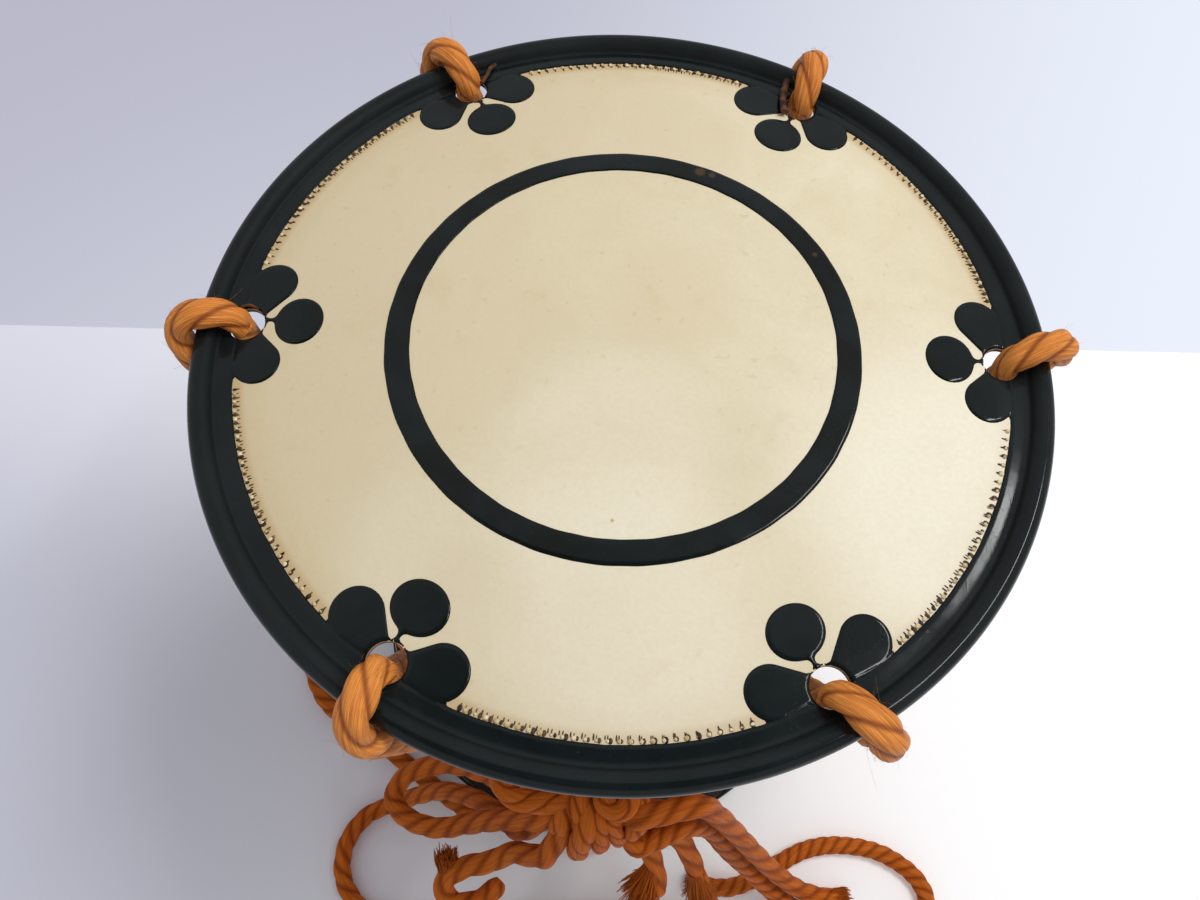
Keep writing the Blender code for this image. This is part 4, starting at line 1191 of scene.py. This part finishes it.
def turned_rows(rows, angle, mirrored):
    """The run's rows turned round the axis, mirrored in height first where it goes over the lower rim."""
    made = rows.copy()
    if mirrored:
        made[:, 2] *= -1
    c, s = math.cos(angle), math.sin(angle)
    for first in (0, 4):
        x, y = made[:, first].copy(), made[:, first + 1].copy()
        made[:, first], made[:, first + 1] = c * x - s * y, s * x + c * y
    made[:, 2] += MIDDLE
    return made


def make_lacing(settings):
    material = rope_finish("orange_rope_lacing", settings)
    tree = bpy.data.node_groups.get("laid_rope") or rope_tree()
    route = lacing_route()
    random = np.random.default_rng(7)
    for label, upper in (("upper", True), ("lower", False)):
        for number in range(HOLE_COUNT):
            angle = number * HOLE_STEP + (0 if upper else LACE_STEP)
            rows = turned_rows(route, angle, not upper)
            run = Run(rows[:, :3], rows[:, 3], rows[:, 4:7], phase=random.uniform(0, 6), lay=settings.lay)
            mesh = rope_mesh([run], material, tree, seed=number + 10.0 * upper)
            dressed(f"rope_{label}_{number + 1}", mesh, [f"lacing_{label}_{number + 1}"])


def lead_points():
    height = -WAIST_PITCH * WAIST_TURNS / 2
    leave = polar(WAIST_CORD_RADIUS, LEAD_ANGLE, height)
    tangent = np.array([math.sin(LEAD_ANGLE), -math.cos(LEAD_ANGLE), 0])
    side = np.array([KNOT_CORE_HALF - 0.006, KNOT_Y, -KNOT_CORE_TILT * 0.6])
    knot_side = np.array([KNOT_CORE_HALF + GAP, KNOT_Y, -KNOT_CORE_TILT])
    straight = knot_side + (2 * ROPE_RADIUS, 0, 0)
    bend = np.array([straight[0] + 0.006, KNOT_Y + 0.003, (height - KNOT_CORE_TILT) / 2])
    return [side, knot_side, straight, bend, leave + tangent * 0.036, leave + tangent * 0.018]


def make_waist_cord(settings):
    # Painted shade: the waist cord takes the rope's darker, redder shaded copy
    material = rope_finish("orange_rope_waist", settings, lit_copy=False)
    lead = lead_points()
    turns = np.radians(np.arange(0, 360 * WAIST_TURNS + 1, 3))
    heights = WAIST_PITCH * (turns / math.tau - WAIST_TURNS / 2)
    around = [polar(WAIST_CORD_RADIUS, LEAD_ANGLE + turn, height) for turn, height in zip(turns, heights)]
    back = [place * (-1, 1, -1) for place in reversed(lead)]
    rows = resampled([*lead, *around, *back], 0.001, 0.0016)
    rows[:, 2] += MIDDLE
    run = Run(rows, lay=settings.lay)
    mesh = rope_mesh([run], material, bpy.data.node_groups["laid_rope"], sides=18, seed=31.0)
    dressed("waist_rope", mesh, ["waist_cord"])


def knot_stub(start, onward):
    """The cord's way inside the knot, from its core to the place where it comes out."""
    way = (onward - start) / np.linalg.norm(onward - start)
    x = float(np.clip(start[0], -0.006, 0.006))
    core = np.array([x, KNOT_Y - 0.001, MIDDLE - x])
    return [core, start - way * 0.007]


def smooth_route(route):
    """The smooth curve that the solids' own points were read from."""
    places = np.array(route)
    ends = np.vstack([places[:1] * 2 - places[1:2], places, places[-1:] * 2 - places[-2:-1]])
    fine = []
    for before, first, second, after in zip(ends, ends[1:], ends[2:], ends[3:]):
        for index in range(CURVE_STEPS):
            t = index / CURVE_STEPS
            fine.append(0.5 * (2 * first + (second - before) * t
                               + (2 * before - 5 * first + 4 * second - after) * t ** 2
                               + (3 * first - before - 3 * second + after) * t ** 3))
    fine.append(places[-1])
    fine = np.array(fine)
    fine[:, 2] = np.maximum(fine[:, 2], FLOOR)
    return fine


def free_cord_line(name):
    route, returns, _, _ = CORDS[name]
    fine = smooth_route(route)
    line = [*knot_stub(fine[0], fine[1]), *fine]
    if returns:
        line += knot_stub(fine[-1], fine[-2])[::-1]
    rows = resampled(line, 0.001, 0.0012)
    rows[:, 2] = np.maximum(rows[:, 2], FLOOR)
    return rows


def make_free_cords(settings):
    # Painted shade: the free cords and their yarns take the rope's darker, redder shaded copy
    material = rope_finish("orange_rope_ends", settings, 0.7, 0.3, False)
    loose = rope_finish("orange_yarns", settings, 0.0, lit_copy=False)
    tree = rope_tree()
    random = np.random.default_rng(3)
    for number, (name, (_, _, far_end, lay)) in enumerate(CORDS.items()):
        line = free_cord_line(name)
        shares = np.ones(len(line))
        if far_end == "bare":
            shares[-3:] = (0.93, 0.8, 0.55)
        way = np.gradient(line, axis=0)
        level = np.hypot(way[:, 0], way[:, 1]) / np.linalg.norm(way, axis=1)
        turn_length = settings.lay * CORD_LAYS.get(name, 1) / np.clip(level, STEEP_LEVEL, 1)
        run = Run(line, shares, phase=random.uniform(0, 6), lay=turn_length)
        mesh = rope_mesh([run], material, tree, strand=0.22, seed=50.0 + number)
        piece = dressed(f"cord_{name}", mesh, [name])
        on_it = [cord_tuft(name, line, loose, random)] if far_end == "bare" else []


def make_knot(settings):
    # Painted shade: the knot takes the rope's darker, redder shaded copy
    material = rope_finish("orange_rope_knot", settings, lit_copy=False)
    tree = bpy.data.node_groups["laid_rope"]
    runs = []
    core = [
        (KNOT_CORE_HALF * share, KNOT_Y, MIDDLE - math.copysign(KNOT_CORE_TILT, share))
        for share in (1, 0.5, -0.5, -1)
    ]
    runs.append(Run(resampled(core, 0.001, 0.002), lay=settings.lay))
    for x in KNOT_RING_PLACES:
        turns = np.linspace(0, math.tau, 45)[:-1]
        ring = np.stack([
            x + KNOT_RING_LEAN * np.sin(turns), KNOT_Y + KNOT_RING_RADIUS * np.cos(turns),
            MIDDLE + KNOT_RING_RADIUS * np.sin(turns),
        ], 1)
        runs.append(Run(ring, closed=True, phase=x * 500, lay=settings.lay))
    mesh = rope_mesh(runs, material, tree, seed=80.0)
    dressed("knot_rope", mesh, ["knot"])
    bights = []
    for number, (points, share) in enumerate(KNOT_BIGHTS):
        line = resampled(smooth_route(points), 0.0008, 0.001)
        shares = np.full(len(line), share)
        shares[-4:] *= (0.97, 0.9, 0.75, 0.45)
        shares[:3] *= (0.5, 0.8, 0.95)
        bights.append(Run(line, shares, phase=1.7 * number, lay=settings.lay))
    mesh = rope_mesh(bights, material, tree, strand=0.25, seed=90.0)
    dressed("knot_bights", mesh, [])


def yarn_fan(origin, tip, spread, count, thickness, random):
    """Loose yarns that fan out from the end of a cord."""
    origin, way = np.array(origin), np.array(tip) - np.array(origin)
    across = np.cross(way, (0.3, 0.2, 1.0))
    across /= np.linalg.norm(across)
    other = np.cross(way, across) / np.linalg.norm(way)
    shares = np.linspace(0, 1, 9)
    runs = []
    for _ in range(count):
        turn = random.uniform(0, math.tau)
        reach = math.sqrt(random.uniform(0, 1))
        off = reach * (across * math.cos(turn) + other * math.sin(turn))
        growth = TUFT_START + (spread * random.uniform(0.75, 1.2) - TUFT_START) * shares ** 1.7
        line = origin + np.outer(shares * random.uniform(0.75, 1.06), way) + np.outer(growth, off)
        line += np.outer(shares * np.sin(shares * random.uniform(2, 7)), random.normal(0, 0.0009, 3))
        line[:, 2] = np.maximum(line[:, 2], thickness)
        thinner = np.interp(shares, (0, 0.7, 1), (1, 0.9, 0.4))
        runs.append(Run(line, thinner, radius=thickness * random.uniform(0.7, 1.1), lay=1.0))
    return runs


def cord_tuft(name, line, material, random):
    """The frayed end of a free cord, as a piece of its own."""
    way = line[-1] - line[-4]
    way /= np.linalg.norm(way)
    plain = (line[-1] - way * 0.003, line[-1] + way * 0.0035, 0.0042, 120, 0.0003)
    runs = yarn_fan(*TUFTS.get(name, plain), random)
    mesh = rope_mesh(runs, material, bpy.data.node_groups["laid_rope"], sides=4, strand=0.0, lumps=0.0)
    return dressed(f"tuft_{name}", mesh, [])


def fibres(line, count, length, random):
    """Single fibres that stand off a rope."""
    shares = np.linspace(0, 1, 7)
    runs = []
    for _ in range(count):
        index = int(random.integers(2, len(line) - 3))
        along = line[index + 1] - line[index - 1]
        along *= random.choice((-1, 1)) / np.linalg.norm(along)
        out = random.normal(0, 1, 3)
        out -= along * out.dot(along)
        out /= np.linalg.norm(out)
        reach = length * random.uniform(0.3, 1.0)
        way = along * random.uniform(0.4, 1.0) + out * random.uniform(0.2, 0.7)
        points = line[index] + out * ROPE_RADIUS * 0.85 + np.outer(shares * reach, way)
        points += np.outer(shares ** 2 * reach, random.normal(0, 0.4, 3))
        points[:, 2] = np.maximum(points[:, 2], 0.0002)
        runs.append(Run(points, 1 - 0.5 * shares, radius=random.uniform(0.00002, 0.00004), lay=1.0))
    return runs


HAIRY_HOLE = 5


def make_fuzz(settings):
    """Single fibres along the ropes, and threads caught in the upper head's holes."""
    random = np.random.default_rng(21)
    tree = bpy.data.node_groups["laid_rope"]
    runs = []
    route = lacing_route()
    for number in range(HOLE_COUNT):
        bight = turned_rows(route[:38], number * HOLE_STEP, False)[:, :3]
        longer = 12 if number == HAIRY_HOLE else 2
        runs += fibres(bight, 90, 0.003, random) + fibres(bight, longer, 0.009, random)
    for name in CORDS:
        line = free_cord_line(name)
        runs += fibres(line, len(line) // 2, 0.003, random)
    fuzz = rope_finish("orange_fibres", settings, 0.0)
    mesh = rope_mesh(runs, fuzz, tree, sides=3, strand=0.0, lumps=0.0)
    dressed("rope_fuzz", mesh, [])
    caught = []
    for points, thickness, _ in CAUGHT_THREADS:
        flat = np.array(points)
        radius = np.hypot(flat[:, 0], flat[:, 1])
        height = UPPER_PLANE + skin_top(radius) + 0.0005 + thickness
        line = resampled(smooth_route(np.column_stack([flat, height])), 0.0006)
        caught.append(Run(line, radius=thickness, lay=0.006))
    mesh = rope_mesh(caught, brown_finish(), tree, sides=12, lumps=0.0002)
    dressed("caught_threads", mesh, [])


def make_room(settings):
    """Light from all sides, and behind the table a pale wall that only the camera sees."""
    world = bpy.data.worlds.new("soft_room")
    bpy.context.scene.world = world
    world.use_nodes = True
    graph = Graph(world.node_tree)
    room = world.node_tree.nodes["Background"]
    room.inputs["Strength"].default_value = settings.room_strength
    x, _, z = graph.parts(graph.node("ShaderNodeTexCoord"))
    # Painted light: the wall seen by the camera is darker on the left and paler on the right, where the light falls
    colour = graph.mix(graph.eased(x, -0.25, 0.6), settings.wall_shaded_left, settings.wall_lit_right)
    colour = graph.mix(graph.eased(z, -0.85, -0.55, 0.3, 0.0), colour, settings.wall_lit_right)
    wall = graph.node("ShaderNodeBackground", None, {"Color": colour})
    seen = graph.node("ShaderNodeLightPath")
    facing = graph.vector("DOT_PRODUCT", graph.node("ShaderNodeTexCoord"), PHOTOGRAPHER, 1)
    mirrored = seen.out("Is Glossy Ray") * graph.eased(facing, 0.78, 0.93)
    light = graph.mix(mirrored, settings.room_colour, settings.photographer)
    world.node_tree.links.new(light.socket, room.inputs["Color"])
    both = graph.node("ShaderNodeMixShader", None, {0: seen, 1: Value(graph, room), 2: wall})
    end = world.node_tree.nodes["World Output"]
    world.node_tree.links.new(both.socket, end.inputs["Surface"])


def make_lamp(name, offset, along, size, power, mirrored):
    """A rectangular lamp this far from the upper head's centre, which it faces, long the given way."""
    data = bpy.data.lights.new(name, "AREA")
    data.shape = "RECTANGLE"
    data.size, data.size_y = size
    data.energy = power
    lamp = linked(name, data)
    lamp.location = Vector((0, 0, UPPER_PLANE)) + Vector(offset)
    outward, along = Vector(offset).normalized(), Vector(along)
    along = (along - outward * outward.dot(along)).normalized()
    lamp.rotation_euler = Matrix((along, outward.cross(along), outward)).transposed().to_euler()
    lamp.visible_glossy = mirrored


def make_stage(settings):
    """The pale table up to the wall, the lamps, the room's light and the camera."""
    corners = [(-TABLE_REACH, -TABLE_REACH, 0), (TABLE_REACH, -TABLE_REACH, 0)]
    corners += [(side * TABLE_REACH, WALL_PLACE - WALL_SLANT * side * TABLE_REACH, 0) for side in (1, -1)]
    linked("table", plain_mesh("table", corners, [(0, 1, 2, 3)], table_finish(settings)))
    make_room(settings)
    make_lamp("window", WINDOW_OFFSET, WINDOW_ALONG, WINDOW_SIZE, settings.window_power, False)
    make_lamp("glint", GLINT_OFFSET, GLINT_ALONG, GLINT_SIZE, settings.glint_power, True)
    make_camera()
    bpy.context.scene.view_settings.view_transform = "Standard"


def make_camera():
    el, az = CAMERA_ELEVATION, CAMERA_AZIMUTH
    back = Vector((math.sin(az) * math.cos(el), -math.cos(az) * math.cos(el), math.sin(el)))
    side = Vector((0, 0, 1)).cross(back).normalized()
    up = back.cross(side)
    c, s = math.cos(CAMERA_ROLL), math.sin(CAMERA_ROLL)
    right, top = c * side + s * up, c * up - s * side
    data = bpy.data.cameras.new("camera")
    data.lens = LENS
    data.sensor_width = SENSOR
    data.clip_start = 0.01
    camera = linked("camera", data)
    turn = Matrix((right, top, back)).transposed().to_4x4()
    place = Vector((*CAMERA_TARGET, UPPER_PLANE)) + back * CAMERA_DISTANCE
    camera.matrix_world = Matrix.Translation(place) @ turn
    bpy.context.scene.camera = camera


def colour_property(name, description, default):
    return bpy.props.FloatVectorProperty(
        name=name, description=description, default=default, subtype="COLOR", size=3, min=0.0, max=1.0
    )


class SkinSettings(bpy.types.PropertyGroup):
    colour: colour_property("Skin", "Main colour of the rawhide", (0.645, 0.545, 0.355))
    # Painted light: the paler colour of the skin's lit right side
    light: colour_property("Light side", "Colour of the skin's paler side", (0.775, 0.700, 0.510))
    shade: colour_property("Shade", "Colour of the skin's darker clouds", (0.64, 0.54, 0.35))
    # Painted shade: near black, for the folded-back skin lying in shade inside the drum
    flap: colour_property("Flap", "Colour of the skin folded back inside the drum", (0.012, 0.010, 0.008))
    # The colour of the paler patches, the one at the right edge being painted sheen
    pale: colour_property("Pale patches", "Colour of the skin's bleached patches", (0.87, 0.82, 0.67))
    stain: colour_property("Stain", "Colour of age stains and of the skin near the seam", (0.50, 0.33, 0.14))
    grain: bpy.props.FloatProperty(
        name="Grain", description="Strength of the skin's grain", default=0.5, min=0.0, max=1.0,
        subtype="FACTOR",
    )


class LacquerSettings(bpy.types.PropertyGroup):
    colour: colour_property("Lacquer", "Main colour of the lacquer", (0.0040, 0.0060, 0.0042))
    light: colour_property("Border", "Colour of the lacquer on the border", (0.0055, 0.0085, 0.0085))
    cloud: colour_property("Clouds", "Colour of the lacquer's paler clouds", (0.0095, 0.0140, 0.0150))
    gloss: bpy.props.FloatProperty(
        name="Roughness", description="Roughness of clean lacquer", default=0.09, min=0.0, max=1.0,
        subtype="FACTOR",
    )


class RopeSettings(bpy.types.PropertyGroup):
    diameter: bpy.props.FloatProperty(
        name="Diameter", description="Diameter of the rope", default=0.0075, min=0.001, unit="LENGTH"
    )
    lay: bpy.props.FloatProperty(
        name="Lay", description="Length of one whole turn of a strand", default=0.0235, min=0.005,
        unit="LENGTH",
    )
    light: colour_property("Light fibre", "Colour of the rope's highlights", (0.95, 0.37, 0.075))
    middle: colour_property("Fibre", "Main colour of the rope", (0.60, 0.170, 0.024))
    # Painted shade: the darker, redder main colour of the rope's shaded copy, for the knot, waist and free cords in
    # the heads' shade
    shade: colour_property("Ends", "Main colour of the redder cords at the knot", (0.60, 0.115, 0.008))
    # Painted shade in the grooves between the strands, also the darker yarns' own tone
    dark: colour_property("Grooves", "Colour between the strands", (0.20, 0.032, 0.003))


class StageSettings(bpy.types.PropertyGroup):
    # Painted light: the wall is darker on the left and paler on the right
    wall_shaded_left: colour_property("Wall, left", "Colour of the wall on the left", (0.49, 0.49, 0.585))
    wall_lit_right: colour_property("Wall, right", "Colour of the wall on the right", (0.84, 0.885, 0.99))
    # Painted light: the table is darker on the left and paler on the right, and its far right glows with added
    # light
    table_shaded_left: colour_property("Table, left", "Colour of the table on the left", (0.76, 0.77, 0.88))
    table_lit_right: colour_property("Table, right", "Colour of the table on the right", (0.97, 0.97, 0.965))
    table_glow: colour_property("Table, far right", "Light that the table's brightest side adds", (0.2, 0.2, 0.2))
    room_colour: colour_property("Room", "Colour of the light from all sides", (0.96, 0.97, 1.0))
    photographer: colour_property("Photographer", "What the lacquer mirrors towards the camera", (0.05, 0.05, 0.05))
    room_strength: bpy.props.FloatProperty(
        name="Room light", description="Strength of the light from all sides", default=0.48, min=0.0
    )
    window_power: bpy.props.FloatProperty(
        name="Window", description="Power of the large soft lamp", default=2.7, min=0.0, unit="POWER"
    )
    glint_power: bpy.props.FloatProperty(
        name="Glint", description="Power of the narrow lamp that the lacquer mirrors", default=2.2, min=0.0,
        unit="POWER"
    )


class DrumOperator(bpy.types.Operator):
    """What every step shares: its settings and its maker."""

    bl_options = {"REGISTER", "UNDO"}
    settings = None
    maker = None

    def execute(self, context):
        chosen = getattr(context.scene, self.settings) if self.settings else None
        type(self).maker(chosen)
        return {"FINISHED"}


def operator_class(name, label, text, maker, settings=None):
    """An operator for one piece or group of like pieces."""
    members = {
        "__doc__": text, "bl_idname": f"hand_drum.{name}", "bl_label": label,
        "maker": staticmethod(maker), "settings": settings,
    }
    return type(f"HAND_DRUM_OT_{name}", (DrumOperator,), members)


OPERATORS = [
    operator_class("stage", "Stage", "Table, wall, lamps, world and camera", make_stage, "drum_stage"),
    operator_class("free_cords", "Free cords", "Loops and tails that hang from the knot", make_free_cords,
                   "drum_rope"),
    operator_class("lacing", "Lacing", "Twelve runs of rope between the heads", make_lacing, "drum_rope"),
    operator_class("waist_cord", "Waist cord", "Rope round the lacing's waist", make_waist_cord, "drum_rope"),
    operator_class("knot", "Knot", "Knot that ties the waist cord", make_knot, "drum_rope"),
    operator_class("fuzz", "Fuzz", "Loose fibres, and threads caught in the holes", make_fuzz, "drum_rope"),
    operator_class("skins", "Skins", "Both rawhide skins", make_skins, "drum_skin"),
    operator_class("lacquer", "Lacquer", "Borders, petals and rings on both heads", make_lacquer,
                   "drum_lacquer"),
    operator_class("stitches", "Stitches", "Stitches along both borders", make_stitches),
    operator_class("body", "Body", "Turned wooden body", make_body),
    operator_class("hoops", "Hoops", "Finish of the iron hoops", make_hoops),
]


class HAND_DRUM_PT_pieces(bpy.types.Panel):
    """Lists the drum's pieces"""

    bl_label = "Hand drum"
    bl_space_type = "VIEW_3D"
    bl_region_type = "UI"
    bl_category = "Hand drum"

    def draw(self, context):
        for step in OPERATORS:
            self.layout.operator(step.bl_idname)


SETTINGS = {
    "drum_skin": SkinSettings,
    "drum_lacquer": LacquerSettings,
    "drum_rope": RopeSettings,
    "drum_stage": StageSettings,
}
CLASSES = [*SETTINGS.values(), *OPERATORS, HAND_DRUM_PT_pieces]


def register():
    for each in CLASSES:
        bpy.utils.register_class(each)
    for name, group in SETTINGS.items():
        setattr(bpy.types.Scene, name, bpy.props.PointerProperty(type=group))


def unregister():
    for name in SETTINGS:
        delattr(bpy.types.Scene, name)
    for each in reversed(CLASSES):
        bpy.utils.unregister_class(each)


def main():
    register()
    for step in OPERATORS:
        group, name = step.bl_idname.split(".")
        getattr(getattr(bpy.ops, group), name)()


if __name__ == "__main__":
    main()
